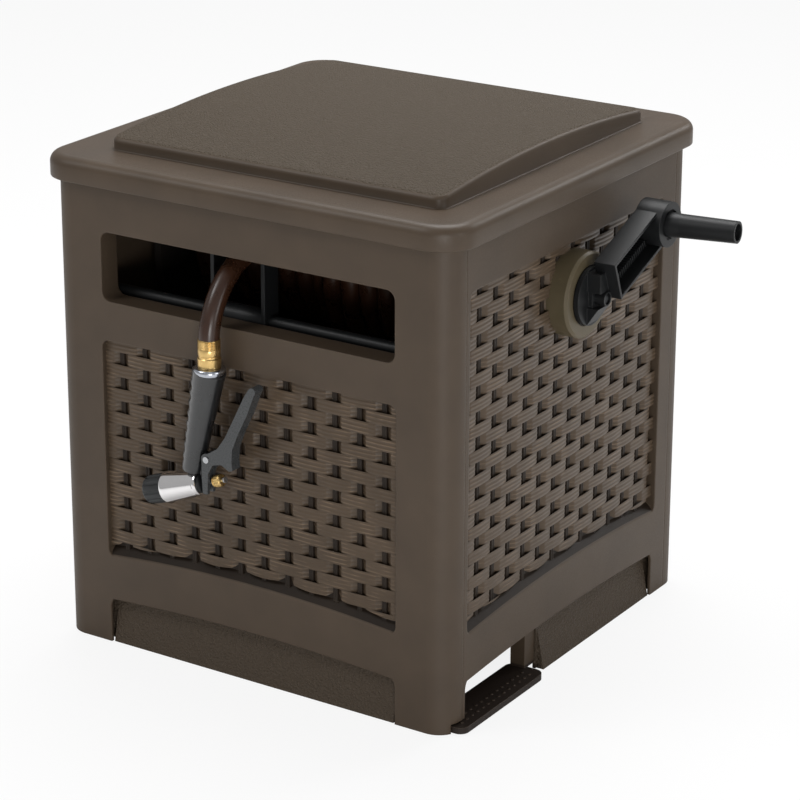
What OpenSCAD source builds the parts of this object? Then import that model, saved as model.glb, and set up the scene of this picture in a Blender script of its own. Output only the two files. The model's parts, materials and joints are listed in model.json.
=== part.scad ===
// Hose reel box with a crank, a sliding hose guide and a pistol nozzle.
// Millimetres. Origin: centre of the footprint on the ground. X to the crank side, Y to the back, Z up.

/* [Box] */
// Width over the side walls
box_w = 568; // [528:2:620]
// Depth over the front and back walls
box_d = 568; // [548:2:620]
// Height of the wall tops
wall_top = 616; // [600:2:660]
// Radius of the upright corners
corner_r = 30; // [24:1:36]
// Wall thickness of the moulded panels
wall = 4; // [3:0.25:5]
// Depth of the recessed fields
field_depth = 14; // [10:1:16]
// Rise of the arched lower edge of a field
field_arch = 11; // [6:1:16]
// Height of the foot arches
arch_h = 66; // [56:1:68]
// Width of the hose slot
slot_w = 420; // [360:2:430]
// Height of the hose slot
slot_h = 87; // [80:1:100]
// Depth of the lip around the hose slot
slot_lip = 32; // [20:1:32]

/* [Lid] */
// Overhang of the lid past the walls
lid_over = 13; // [10:1:18]
// How far the lid skirt hangs below the wall tops
lid_skirt = 21; // [20:1:26]
// Height of the lid rim above the wall tops
lid_rim = 8; // [7:1:12]
// Height of the crown of the raised panel above the wall tops
lid_crown = 35; // [28:1:44]
// Opening angle shown, 0 is shut
lid_angle = 0; // [0:5:100]

/* [Reel] */
// Diameter of the reel flanges
flange_d = 280; // [262:2:290]
// Diameter of the drum barrel
drum_d = 100; // [90:2:106]
// Outside diameter of the hose
hose_d = 25; // [22:0.5:26]
// Turns of hose in the outer layer
turns = 8.5; // [5.5:1:8.5]
// Length of the crank between its two axes
crank_r = 131; // [110:1:145]
// Length of the crank grip
grip_len = 90; // [80:1:110]
// Diameter of the guide rod
rod_d = 16; // [12:0.5:18]

/* [Fits] */
// Radial clearance of turning fits
run_fit = 0.05; // [0.03:0.01:0.09]
// Gap between panels that meet
seam_gap = 0.5; // [0.4:0.1:0.8]

/* [Hidden] */
$fn = 96;
fine = 720;
hw = box_w / 2;
hd = box_d / 2;
brown = [0.28, 0.24, 0.2];
dark_brown = [0.2, 0.17, 0.14];
black = [0.06, 0.06, 0.06];
steel = [0.7, 0.7, 0.7];
brass = [0.75, 0.58, 0.25];
chrome = [0.85, 0.85, 0.87];
hose_brown = [0.16, 0.1, 0.07];
grey = [0.3, 0.3, 0.31];

// Seams of the four panels
seam_front = corner_r + 4;
seam_back = 38;
lap_front = 8;
lap_back = 10;
lap_t = 3;
lap_x = hw - wall - seam_gap;
lap_screw_z = [wall_top - 456, wall_top - 266, wall_top - 76];
screw_r = 1.6;
screw_hole_r = screw_r + 0.1;
screw_head_r = 3.4;

// Fields and arches
field_r = 10;
sill_rise = 10;
field_z0 = 116;
front_field_x = 212;
front_field_z1 = wall_top - 216;
tall_field_z1 = wall_top - 79;
side_field_y0 = -hd + 42;
side_field_y1 = hd - 67;
arch_sag = 8;
arch_r = 20;
front_arch_x = 211;
side_arch_y0 = -hd + 39;
side_arch_y1 = hd - 72;
slot_r = 12;
slot_z1 = wall_top - 79;
slot_z0 = slot_z1 - slot_h;

// Base tray and foot step
skirt_inset = 12;
skirt_flare = 2;
floor_z = 76;
floor_z0 = floor_z - wall;
boss = [16, 26, 16];
boss_screw = wall + 19;
front_boss_x = [-150, 150];
side_boss_y = [0, 150];
step_x0 = hw - 38;
step_x1 = hw + 12;
step_y0 = -hd + 17;
step_y1 = -hd + 206;
step_z0 = 1;
step_t = 8;
step_leg_x0 = hw - 34;
step_leg_x1 = hw - skirt_inset - 2;
step_leg_y = [[step_y0 + 1, step_y0 + 17], [step_y1 - 6, step_y1 + 16]];
step_flange_t = 4;
step_screw_x = [hw - 46, hw - 24];
step_notch_z = 12;

// Lid
lid_z0 = wall_top - lid_skirt;
lid_corner_r = 46;
lid_round = 7;
lid_valley = wall_top + 4;
panel_edge_z = wall_top + 21;
panel_x = hw - 47;
panel_y0 = -hd + 56;
panel_y1 = hd - 37;
panel_r = 15;
panel_half = (panel_y1 - panel_y0) / 2;
panel_mid = (panel_y1 + panel_y0) / 2;
panel_rise = wall_top + lid_crown - panel_edge_z;
panel_big_r = (panel_half * panel_half + panel_rise * panel_rise) / (2 * panel_rise);
hinge_y = hd + 7;
hinge_z = lid_z0 - 7.5;
hinge_r = 6;
hinge_pin_r = 2.5;
hinge_x = [-150, 150];
knuckle_lid = 29;
knuckle_box = 20;

// Reel
axle_y = -3;
axle_z = wall_top - 144;
reel_x = hw - 50;
flange_t = 6;
barrel_x = reel_x - flange_t;
stub_r = 37;
stub_bore = 30;
stub_end = hw + 16;
ring_r = 53;
ring_x0 = hw - field_depth;
ring_x1 = hw + 17.5;
ring_spigot_r = 44.8;
ring_spigot = 14;
ring_screw_r = 49.2;
drum_r = drum_d / 2;
drum_wall = 4;
drum_spigot = 15;
drum_screw_x = barrel_x - 8;
core_r = drum_r + 45.6;
wind_pitch = hose_d + 1.5;
wind_x0 = barrel_x - 1 - hose_d / 2;
wind_x1 = wind_x0 - turns * wind_pitch;
rings_per_turn = 24;
wind_r = core_r / cos(180 / rings_per_turn) + 0.02 + hose_d / 2;

// Water way
inlet_thread_r = 13.45;
inlet_thread = 20;
inlet_neck_r = 15;
inlet_neck = 2;
inlet_tube_r = 10;
inlet_bore_r = 7;
inlet_tip = -barrel_x + 20;
cap_t = 4;
cap_x = -ring_x1 - cap_t;
inlet_flange_r = 22;
socket_r = 16;
socket_x0 = -reel_x - 10;
socket_x1 = -barrel_x + 26;
outlet_x = -60;
seal_x = [-barrel_x + 4, -barrel_x + 12];

// Crank
hub_x0 = hw + 17.8;
hub_x1 = hub_x0 + 6;
boss_x1 = hub_x0 + 26;
crank_lean = 21.4;
arm_rise = 22.5;
arm_len = sqrt(crank_r * crank_r - pow(arm_rise * cos(crank_lean), 2)) - arm_rise * sin(crank_lean);
arm_w = 50;
arm_x0 = hub_x0 + 11;
arm_x1 = hub_x0 + 39;
arm_wall = 3.5;
arm_rib_x = arm_x1 - 12;
knuckle_r = 28;
knuckle_x1 = hub_x0 + 52;
grip_tilt = 5;
grip_r = 13.6;
grip_base_r = 15.5;
grip_pin_r = 4;
wall_of_stub = 6;
stub_wall_x = hw - 10;

// Guide
rod_y = -hd + 48;
rod_z = wall_top - 167;
rail_z = wall_top - 51;
rail_d = 12;
rod_r = rod_d / 2;
rail_r = rail_d / 2;
rod_end = hw - field_depth - wall - 2;
rod_socket = 14;
socket_wall = 5;
guide_x = -33;
guide_half = 34;
guide_cheek = 5;
guide_depth = 28;
sleeve_r = rod_r + 6;
rail_sleeve_r = rail_r + 5;

// Route of the free hose: side shift from the guide, distance behind the front face, height over the axle
wind_shift = wind_x1 - guide_x;
top_y = axle_y - hose_d + hd;
lead_route = [
    [wind_shift, top_y - 0.3, wind_r],
    [wind_shift * 0.96, top_y - 25, wind_r - 1],
    [wind_shift * 0.72, top_y - 65, wind_r - 6.5],
    [wind_shift * 0.42, top_y - 105, wind_r - 16.5],
    [wind_shift * 0.16, top_y - 145, wind_r - 30.5],
    [wind_shift * 0.04, top_y - 175, wind_r - 43],
    [0, 34, 47.5]
];
drop_route = [
    [0, 34, 47.5],
    [0, 25, 43],
    [0, 9, 32],
    [0, -4, 18.5],
    [0, -14.5, 2],
    [0, -21, -14],
    [0, -24, -30]
];
drop_end_z = axle_z - 30;
noz_y = -hd - 24;

// Nozzle
coupling_len = 35;
coupling_seat = coupling_len - 12;
coupling_r = 13.5;
collar_len = 8;
collar_r = 19.5;
grip_top_z = drop_end_z - coupling_len - collar_len + 4;
noz_lean = 12;
noz_grip_len = 134;
noz_grip_r0 = 18.5;
noz_grip_r1 = 12;
barrel_at = [-47.3, drop_end_z - 184.5];
barrel_tilt = 18.3;
core_tube_r = 12;
shell_len = 53;
shell_r0 = 14.9;
shell_r1 = 20;
tip_len = 29;
tip_r = 18;
stem_r = 2.5;
nut_r = 7.5;
nut_z0 = -32;
nut_z1 = -20.5;
lever_at = [-34.5, drop_end_z - 150];
lever_half = 8;
lever_slot = 3.6;
lever_pin_r = 2.5;

// Outlines and placing
module rrect(x0, x1, y0, y1, r) {
    translate([x0 + r, y0]) square([x1 - x0 - 2 * r, y1 - y0]);
    translate([x0, y0 + r]) square([x1 - x0, y1 - y0 - 2 * r]);
    for (x = [x0 + r, x1 - r], y = [y0 + r, y1 - r]) translate([x, y]) circle(r);
}

module plan(inset) {
    rrect(-hw + inset, hw - inset, -hd + inset, hd - inset, corner_r - inset);
}

module band(x0, x1, y0, y1) {
    translate([x0, y0]) square([x1 - x0, y1 - y0]);
}

module slab(d0, d1) {
    translate([0, d1, 0]) rotate([90, 0, 0]) linear_extrude(d1 - d0) children();
}

module at_front() {
    translate([0, -hd, 0]) children();
}

module at_back() {
    rotate([0, 0, 180]) translate([0, -hd, 0]) children();
}

module at_right() {
    translate([hw, 0, 0]) rotate([0, 0, 90]) children();
}

module along_x(x0, x1, r, y = axle_y, z = axle_z) {
    translate([x0, y, z]) rotate([0, 90, 0]) cylinder(h = x1 - x0, r = r);
}

module block(x0, x1, y0, y1, z0, z1) {
    translate([x0, y0, z0]) cube([x1 - x0, y1 - y0, z1 - z0]);
}

// Panels
module panel_wall(y0, y1) {
    linear_extrude(wall_top) intersection() {
        difference() {
            plan(0);
            plan(wall);
        }
        band(-hw - 1, hw + 1, y0, y1);
    }
}

module field_block(u0, u1, z1) {
    slab(1, field_depth + wall) rrect(u0 - wall, u1 + wall, field_z0 - wall, z1 + wall, field_r + wall);
}

module field_cut(u0, u1, z1) {
    half = (u1 - u0) / 2;
    big = (half * half + field_arch * field_arch) / (2 * field_arch);
    difference() {
        slab(-1, field_depth) rrect(u0, u1, field_z0, z1, field_r);
        translate([(u0 + u1) / 2, -2, field_z0 + field_arch - big]) rotate([-90, 0, 0])
            cylinder(h = field_depth + 4, r1 = big - 2 * sill_rise / field_depth,
                     r2 = big + sill_rise * (field_depth + 2) / field_depth, $fn = fine);
    }
}

module arch_cut(u0, u1) {
    half = (u1 - u0) / 2;
    big = (half * half + arch_sag * arch_sag) / (2 * arch_sag);
    slab(-1, wall + 3) intersection() {
        rrect(u0, u1, -60, arch_h, arch_r);
        translate([(u0 + u1) / 2, arch_h - big]) circle(big, $fn = fine);
    }
}

module panel_boss(u) {
    translate([u - boss[0] / 2, wall - 0.5, floor_z]) cube([boss[0], boss[1] + 0.5, boss[2]]);
}

module boss_hole(u) {
    translate([u, boss_screw, floor_z - 1]) cylinder(h = boss[2] - 2, r = screw_hole_r);
}

module lap_hole(side, y) {
    for (z = lap_screw_z) translate([side * (lap_x - lap_t - 1), y, z])
        rotate([0, side * 90, 0]) cylinder(h = lap_t + seam_gap + wall, r = screw_hole_r);
}

module step_notch() {
    block(hw - 60, hw + 30, step_y0 - 2, step_y1 + 2, -1, step_notch_z);
}

module front_panel() color(brown) difference() {
    union() {
        panel_wall(-hd - 1, -hd + seam_front);
        at_front() {
            field_block(-front_field_x, front_field_x, front_field_z1);
            slab(1, slot_lip)
                rrect(-slot_w / 2 - wall, slot_w / 2 + wall, slot_z0 - wall, slot_z1 + wall, slot_r + wall);
            for (u = front_boss_x) panel_boss(u);
        }
    }
    at_front() {
        field_cut(-front_field_x, front_field_x, front_field_z1);
        slab(-1, slot_lip + 1) rrect(-slot_w / 2, slot_w / 2, slot_z0, slot_z1, slot_r);
        arch_cut(-front_arch_x, front_arch_x);
        for (u = front_boss_x) boss_hole(u);
    }
    for (side = [-1, 1]) lap_hole(side, -hd + seam_front - lap_front / 2);
    step_notch();
}

module back_panel() color(brown) difference() {
    union() {
        panel_wall(hd - seam_back, hd + 1);
        at_back() {
            field_block(-front_field_x, front_field_x, tall_field_z1);
            for (u = front_boss_x) panel_boss(u);
        }
        for (x = hinge_x) back_knuckles(x);
    }
    at_back() {
        field_cut(-front_field_x, front_field_x, tall_field_z1);
        arch_cut(-front_arch_x, front_arch_x);
        for (u = front_boss_x) boss_hole(u);
    }
    for (side = [-1, 1]) lap_hole(side, hd - seam_back + lap_back / 2);
    along_x(-hinge_x[1] - 60, hinge_x[1] + 60, hinge_pin_r, hinge_y, hinge_z);
}

module back_knuckles(x) {
    for (side = [-1, 1]) {
        mid = x + side * (knuckle_lid / 2 + 0.5 + knuckle_box / 2);
        along_x(mid - knuckle_box / 2, mid + knuckle_box / 2, hinge_r, hinge_y, hinge_z);
        block(mid - knuckle_box / 2, mid + knuckle_box / 2, hd - 1, hinge_y, hinge_z - hinge_r, hinge_z + 3);
    }
}

module side_shell() {
    panel_band = hd - seam_back;
    intersection() {
        panel_wall(-hd + seam_front + seam_gap, panel_band - seam_gap);
        block(0, hw + 1, -hd, hd, -1, wall_top + 1);
    }
    at_right() {
        field_block(side_field_y0, side_field_y1, tall_field_z1);
        for (u = side_boss_y) panel_boss(u);
    }
    block(lap_x - lap_t, lap_x, -hd + seam_front - lap_front, -hd + seam_front + 6, 95, wall_top - 12);
    block(lap_x - 1, hw - wall + 1, -hd + seam_front + seam_gap, -hd + seam_front + 6, 95, wall_top - 12);
    block(lap_x - lap_t, lap_x, panel_band - 6, panel_band + lap_back, 95, wall_top - 12);
    block(lap_x - 1, hw - wall + 1, panel_band - 6, panel_band - seam_gap, 95, wall_top - 12);
    along_x(rod_end - rod_socket, hw - 1, rod_r + socket_wall, rod_y, rod_z);
    along_x(rod_end - rod_socket, hw - 1, rail_r + socket_wall, rod_y, rail_z);
}

module side_cuts() {
    at_right() {
        field_cut(side_field_y0, side_field_y1, tall_field_z1);
        arch_cut(side_arch_y0, side_arch_y1);
        for (u = side_boss_y) boss_hole(u);
    }
    lap_hole(1, -hd + seam_front - lap_front / 2);
    lap_hole(1, hd - seam_back + lap_back / 2);
    along_x(rod_end - rod_socket - 1, rod_end, rod_r + run_fit, rod_y, rod_z);
    along_x(rod_end - rod_socket - 1, rod_end, rail_r + run_fit, rod_y, rail_z);
    along_x(ring_x0 - 20, ring_x0 + 1, ring_spigot_r + 0.3);
    for (a = [90, 210, 330]) at_ring_angle(a) along_x(ring_x0 - 20, ring_x0 + 1, screw_hole_r, 0, ring_screw_r);
}

module at_ring_angle(a) {
    translate([0, axle_y, axle_z]) rotate([a, 0, 0]) children();
}

module right_panel() color(brown) difference() {
    side_shell();
    side_cuts();
    step_notch();
}

module left_panel() color(brown) mirror([1, 0, 0]) difference() {
    side_shell();
    side_cuts();
}

module panel_screws() color(steel)
    for (side = [0, 1], y = [-hd + seam_front - lap_front / 2, hd - seam_back + lap_back / 2], z = lap_screw_z)
        mirror([side, 0, 0]) {
            along_x(lap_x - lap_t - 2.6, lap_x - lap_t, screw_head_r, y, z);
            along_x(lap_x - lap_t - 1, hw - 1.6, screw_r, y, z);
        }

// Base
module base_tray() color(dark_brown) difference() {
    union() {
        linear_extrude(floor_z) difference() {
            plan(skirt_inset);
            plan(skirt_inset + wall);
        }
        translate([0, 0, floor_z0]) linear_extrude(wall) plan(wall + 0.3);
        at_front() skirt_foot(-front_arch_x + 3, front_arch_x - 3);
        at_back() skirt_foot(-front_arch_x + 3, front_arch_x - 3);
        at_right() skirt_foot(step_y1 + 20, side_arch_y1 - 3);
        mirror([1, 0, 0]) at_right() skirt_foot(side_arch_y0 + 3, side_arch_y1 - 3);
    }
    block(hw - 60, hw + 30, step_y0, step_y1 + 17, -1, floor_z0);
    at_front() for (u = front_boss_x) floor_hole(u);
    at_back() for (u = front_boss_x) floor_hole(u);
    for (side = [0, 1]) mirror([side, 0, 0]) at_right() for (u = side_boss_y) floor_hole(u);
    for (leg = step_leg_y, x = step_screw_x)
        translate([x, (leg[0] + leg[1]) / 2, floor_z0 - 1]) cylinder(h = wall + 2, r = screw_hole_r);
}

// The skirt leans out to the foot of the walls inside each arch
module skirt_foot(u0, u1) {
    translate([u0, 0, 0]) rotate([90, 0, 90]) linear_extrude(u1 - u0)
        polygon([[skirt_flare, 0], [skirt_inset + 1, 0], [skirt_inset + 1, arch_h - 8]]);
}

module floor_hole(u) {
    translate([u, boss_screw, floor_z0 - 1]) cylinder(h = wall + 2, r = screw_hole_r);
}

module base_screw(u) {
    translate([u, boss_screw, floor_z0 - 2.6]) cylinder(h = 2.6, r = screw_head_r);
    translate([u, boss_screw, floor_z0 - 1]) cylinder(h = wall + 12, r = screw_r);
}

module base_screws() color(steel) {
    at_front() for (u = front_boss_x) base_screw(u);
    at_back() for (u = front_boss_x) base_screw(u);
    for (side = [0, 1]) mirror([side, 0, 0]) at_right() for (u = side_boss_y) base_screw(u);
}

module foot_step() color(brown) difference() {
    union() {
        translate([0, 0, step_z0]) linear_extrude(step_t) rrect(step_x0, step_x1, step_y0, step_y1, 12);
        for (leg = step_leg_y) {
            block(step_leg_x0, step_leg_x1, leg[0], leg[1], step_z0 + step_t - 1, floor_z0);
            block(step_screw_x[0] - 6, step_leg_x1, leg[0], leg[1], floor_z0 - step_flange_t, floor_z0);
        }
        for (y = [step_y0 + 15 : 12 : step_y1 - 14], x = [step_x1 - 12, step_x1 - 22])
            translate([x, y, step_z0 + step_t - 0.5]) cylinder(h = 1.4, r = 1.8, $fn = 24);
    }
    for (leg = step_leg_y) translate([step_screw_x[1], (leg[0] + leg[1]) / 2, step_z0 + step_t + 6])
        cylinder(h = floor_z0 - step_flange_t - step_z0 - step_t - 6, r = screw_head_r + 1);
    for (leg = step_leg_y, x = step_screw_x)
        translate([x, (leg[0] + leg[1]) / 2, floor_z0 - step_flange_t - 1])
            cylinder(h = step_flange_t + 2, r = screw_hole_r);
}

module foot_step_screws() color(steel)
    for (leg = step_leg_y, x = step_screw_x) translate([x, (leg[0] + leg[1]) / 2, floor_z0 - step_flange_t]) {
        translate([0, 0, -2.6]) cylinder(h = 2.6, r = screw_head_r);
        translate([0, 0, -1]) cylinder(h = step_flange_t + wall + 0.5, r = screw_r);
    }

// Bearings and water inlet
module bearing_ring() {
    difference() {
        union() {
            along_x(ring_x0, ring_x1 - 3, ring_r);
            translate([ring_x1 - 3, axle_y, axle_z]) rotate([0, 90, 0])
                cylinder(h = 3, r1 = ring_r, r2 = ring_r - 3);
            along_x(ring_x0 - ring_spigot, ring_x0 + 1, ring_spigot_r);
        }
        along_x(ring_x0 - ring_spigot - 1, ring_x1 + 1, stub_r + run_fit);
        for (a = [90, 210, 330])
            at_ring_angle(a) along_x(ring_x0 - 1, ring_x0 + 8, screw_hole_r, 0, ring_screw_r);
    }
}

module crank_bearing() color(brown) bearing_ring();

module inlet_bearing() color(brown) difference() {
    mirror([1, 0, 0]) bearing_ring();
    for (a = [30, 150, 270]) at_ring_angle(a) along_x(-ring_x1 - 1, -ring_x1 + 8, screw_hole_r, 0, stub_r + 7);
}

module bearing_screws() color(steel) {
    for (side = [0, 1], a = [90, 210, 330]) mirror([side, 0, 0]) at_ring_angle(a) {
        along_x(ring_x0 - wall - 2.6, ring_x0 - wall, screw_head_r, 0, ring_screw_r);
        along_x(ring_x0 - wall - 1, ring_x0 + 6, screw_r, 0, ring_screw_r);
    }
    for (a = [30, 150, 270]) at_ring_angle(a) {
        along_x(cap_x - 2.6, cap_x, screw_head_r, 0, stub_r + 7);
        along_x(cap_x - 1, -ring_x1 + 6, screw_r, 0, stub_r + 7);
    }
}

module inlet_cap() color(brown) difference() {
    along_x(cap_x, -ring_x1, ring_r - 3.5);
    along_x(cap_x - 1, -ring_x1 + 1, inlet_neck_r + 0.3);
    for (a = [30, 150, 270]) at_ring_angle(a) along_x(cap_x - 1, -ring_x1 + 1, screw_hole_r, 0, stub_r + 7);
}

module inlet_fitting() color(brass) difference() {
    union() {
        along_x(cap_x - inlet_neck - inlet_thread, cap_x, inlet_thread_r);
        along_x(cap_x - inlet_neck, -ring_x1 + 1, inlet_neck_r);
        along_x(-ring_x1, -ring_x1 + 4, inlet_flange_r);
        along_x(-ring_x1, inlet_tip, inlet_tube_r);
    }
    along_x(cap_x - inlet_neck - inlet_thread - 1, inlet_tip + 1, inlet_bore_r);
    for (x = seal_x) translate([x, axle_y, axle_z]) rotate([0, 90, 0]) difference() {
        cylinder(h = 2.4, r = inlet_tube_r + 1, center = true);
        cylinder(h = 3, r = inlet_tube_r - 2, center = true);
    }
}

module inlet_seals() color(black)
    for (x = seal_x) translate([x, axle_y, axle_z]) rotate([0, 90, 0])
        rotate_extrude() translate([inlet_tube_r - 0.95, 0]) circle(1, $fn = 24);

module water_tube() color(grey) difference() {
    union() {
        along_x(socket_x0, socket_x1, socket_r);
        along_x(socket_x1 - 1, outlet_x + 11, inlet_tube_r);
        translate([outlet_x, axle_y, axle_z]) cylinder(h = drum_r - 0.5, r = 11);
    }
    along_x(socket_x0 - 1, socket_x1 - 4, inlet_tube_r + run_fit);
    along_x(socket_x1 - 5, outlet_x, inlet_bore_r);
    translate([outlet_x, axle_y, axle_z]) cylinder(h = drum_r + 1, r = inlet_bore_r);
}

// Reel
module drum_screw_at(side, a) {
    translate([side * drum_screw_x, axle_y, axle_z]) rotate([a, 0, 0]) children();
}

module drum() color(dark_brown) difference() {
    along_x(-barrel_x, barrel_x, drum_r);
    along_x(-barrel_x - 1, barrel_x + 1, drum_r - drum_wall);
    translate([outlet_x, axle_y, axle_z]) cylinder(h = drum_r + 5, r = 11.3);
    for (side = [-1, 1], a = [60, 180, 300]) drum_screw_at(side, a) {
        cylinder(h = drum_r + 1, r = screw_hole_r);
        translate([0, 0, drum_r - 2.4]) cylinder(h = 4, r = screw_head_r + 0.1);
    }
}

module flange_disc() {
    along_x(barrel_x, reel_x, flange_d / 2);
    difference() {
        along_x(barrel_x - drum_spigot, barrel_x + 1, drum_r - drum_wall - 0.3);
        along_x(barrel_x - drum_spigot - 1, barrel_x, drum_r - drum_wall - 6);
        for (a = [60, 180, 300]) drum_screw_at(1, a) cylinder(h = drum_r, r = screw_hole_r);
    }
    difference() {
        along_x(reel_x - 1, reel_x + 4, flange_d / 2);
        along_x(reel_x - 2, reel_x + 5, flange_d / 2 - 5);
    }
    for (a = [0 : 45 : 315]) translate([0, axle_y, axle_z]) rotate([a, 0, 0])
        block(reel_x - 1, reel_x + 4, -2, 2, stub_r - 2, flange_d / 2 - 3);
}

module right_flange() color(dark_brown) {
    difference() {
        union() {
            flange_disc();
            along_x(reel_x - 1, stub_end, stub_r);
        }
        along_x(barrel_x - drum_spigot - 1, stub_end + 1, stub_bore);
    }
    difference() {
        along_x(stub_wall_x - wall_of_stub, stub_wall_x, stub_bore + 1);
        along_x(stub_wall_x - wall_of_stub - 1, stub_wall_x + 1, 4.1);
    }
}

module left_flange() color(dark_brown) mirror([1, 0, 0]) {
    difference() {
        union() {
            flange_disc();
            along_x(reel_x - 1, stub_end - 5, stub_r);
        }
        along_x(barrel_x - drum_spigot - 1, stub_end + 1, stub_bore);
    }
    difference() {
        along_x(barrel_x, reel_x, stub_bore + 1);
        along_x(barrel_x - 1, reel_x + 1, socket_r);
    }
}

module flange_screws() color(steel)
    for (side = [-1, 1], a = [60, 180, 300]) drum_screw_at(side, a) {
        translate([0, 0, drum_r - 2.4]) cylinder(h = 2.2, r = screw_head_r);
        translate([0, 0, drum_r - drum_wall - 6]) cylinder(h = 8, r = screw_r);
    }

// Hose
function unit(v) = v / norm(v);
function ring_at(p, t, r, sides) =
    let (a = unit([1, 0, 0] - t * (t * [1, 0, 0])), b = cross(t, a))
    [for (k = [0 : sides - 1]) p + r * (sin(k * 360 / sides) * a + cos(k * 360 / sides) * b)];
function tangent(path, i) =
    i == 0 ? unit(path[1] - path[0])
    : i == len(path) - 1 ? unit(path[i] - path[i - 1])
    : unit(path[i + 1] - path[i - 1]);
function spline(p, i, t) =
    let (n = len(p) - 1, a = i == 0 ? 2 * p[0] - p[1] : p[i - 1],
        d = i + 2 > n ? 2 * p[n] - p[n - 1] : p[i + 2])
    0.5 * ((2 * p[i]) + (p[i + 1] - a) * t + (2 * a - 5 * p[i] + 4 * p[i + 1] - d) * t * t
        + (3 * p[i] - a - 3 * p[i + 1] + d) * t * t * t);
function smooth(p, steps) = concat(
    [for (i = [0 : len(p) - 2], k = [0 : steps - 1]) spline(p, i, k / steps)], [p[len(p) - 1]]);
function placed(route) = [for (q = route) [guide_x + q[0], -hd + q[1], axle_z + q[2]]];

module tube(path, tangents, r, sides) {
    rows = [for (i = [0 : len(path) - 1]) ring_at(path[i], tangents[i], r, sides)];
    n = len(path);
    points = concat([for (row = rows) each row], [path[0], path[n - 1]]);
    skin = [for (i = [0 : n - 2], k = [0 : sides - 1])
        let (a = i * sides + k, b = i * sides + (k + 1) % sides)
        each [[a, b, a + sides], [b, b + sides, a + sides]]];
    caps = [for (k = [0 : sides - 1]) each [
        [n * sides, (k + 1) % sides, k],
        [n * sides + 1, (n - 1) * sides + k, (n - 1) * sides + (k + 1) % sides]]];
    polyhedron(points, concat(skin, caps));
}

wind_n = round(turns * rings_per_turn);
function wind_angle(i) = 90 - (wind_n - i) * 360 / rings_per_turn;
function wind_point(i) = [
    wind_x0 - wind_pitch * i / rings_per_turn,
    axle_y + wind_r * cos(wind_angle(i)),
    axle_z + wind_r * sin(wind_angle(i))];
function wind_dir(i) = unit([
    -wind_pitch / 2 / PI, -wind_r * sin(wind_angle(i)), wind_r * cos(wind_angle(i))]);
wind_start_dir = [0, -sin(wind_angle(0)), cos(wind_angle(0))];
wind_path = concat(
    [wind_point(0) - hose_d * wind_start_dir],
    [for (i = [0 : wind_n]) wind_point(i)],
    [wind_point(wind_n) + [0, -hose_d, 0]]);
wind_tangents = concat(
    [wind_start_dir, wind_start_dir],
    [for (i = [1 : wind_n - 1]) wind_dir(i)],
    [[0, -1, 0], [0, -1, 0]]);
wind_gap = min([for (i = [0 : wind_n - rings_per_turn])
    let (a = ring_at(wind_point(i), wind_dir(i), hose_d / 2, 6), j = i + rings_per_turn,
         b = ring_at(wind_point(j), wind_dir(j), hose_d / 2, 6))
    min([for (p = a, q = b) norm(p - q)])]);
echo(least_gap_of_winding_mm = wind_gap);

module hose_core() color(hose_brown) difference() {
    along_x(-barrel_x + 0.5, barrel_x - 0.5, core_r);
    along_x(-barrel_x, barrel_x, drum_r + 0.3);
}

module hose_winding() color(hose_brown) tube(wind_path, wind_tangents, hose_d / 2, 6);

module free_tube(route, start, end) {
    path = smooth(placed(route), 3);
    n = len(path);
    tangents = [for (i = [0 : n - 1]) i == 0 ? start : i == n - 1 ? end : tangent(path, i)];
    tube(path, tangents, hose_d / 2, 12);
}

guide_dir = unit([0, -9, -4.5]);
module hose_lead() color(hose_brown) free_tube(lead_route, [0, -1, 0], guide_dir);
module hose_drop() color(hose_brown) free_tube(drop_route, guide_dir, [0, 0, -1]);

// Crank
module at_crank() {
    translate([0, axle_y, axle_z + arm_rise]) rotate([crank_lean, 0, 0]) children();
}

module on_crank(x0, x1) {
    translate([x0, 0, 0]) rotate([90, 0, 90]) linear_extrude(x1 - x0) children();
}

module crank_arm() color(black) difference() {
    union() {
        along_x(hub_x0, hub_x1, stub_r - 1);
        along_x(stub_wall_x + 1, hub_x0 + 1, stub_bore - 0.3);
        along_x(hub_x0, boss_x1, 9);
        translate([0, axle_y, axle_z]) {
            block(hub_x0, hub_x0 + 24, -15, 15, 9, 33);
            translate([0, 14, 0]) rotate([90, 0, 0]) linear_extrude(28)
                polygon([[hub_x0, -33], [hub_x0 + 6, -33], [hub_x0 + 21, -11], [hub_x0, -11]]);
            block(hub_x0, hub_x0 + 12, -12, 12, -12, 12);
        }
        at_crank() difference() {
            on_crank(arm_x0, arm_x1) {
                band(0, arm_len, -arm_w / 2, arm_w / 2);
                translate([arm_len, 0]) circle(arm_w / 2);
            }
            on_crank(arm_x0 + arm_wall, arm_x1 + 1)
                band(arm_wall, arm_len - 14, -arm_w / 2 + arm_wall, arm_w / 2 - arm_wall);
        }
        at_crank() {
            on_crank(arm_x0, knuckle_x1 - 5) translate([arm_len, 0]) circle(knuckle_r);
            for (y = [12 : 4.5 : arm_len - knuckle_r - 4], side = [-1, 1])
                block(arm_x0 + arm_wall - 0.5, arm_rib_x, y, y + 1.6, side * 10 - 4.5, side * 10 + 4.5);
        }
    }
    along_x(stub_wall_x - 1, boss_x1 + 1, 4.1);
    along_x(boss_x1 - 6, boss_x1 + 1, 7.2);
    at_grip() translate([0, 0, -60]) cylinder(h = 60.5, r = grip_pin_r + 0.05);
    at_grip() cylinder(h = 40, r = grip_base_r + 3);
}

module at_grip() {
    at_crank() translate([knuckle_x1 - 8, arm_len, 0]) rotate([0, 0, grip_tilt]) rotate([0, 90, 0]) children();
}

module crank_screw() color(steel) {
    along_x(boss_x1 - 6, boss_x1 - 2, 7);
    along_x(stub_wall_x - wall_of_stub, boss_x1 - 5, 4);
}

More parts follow.
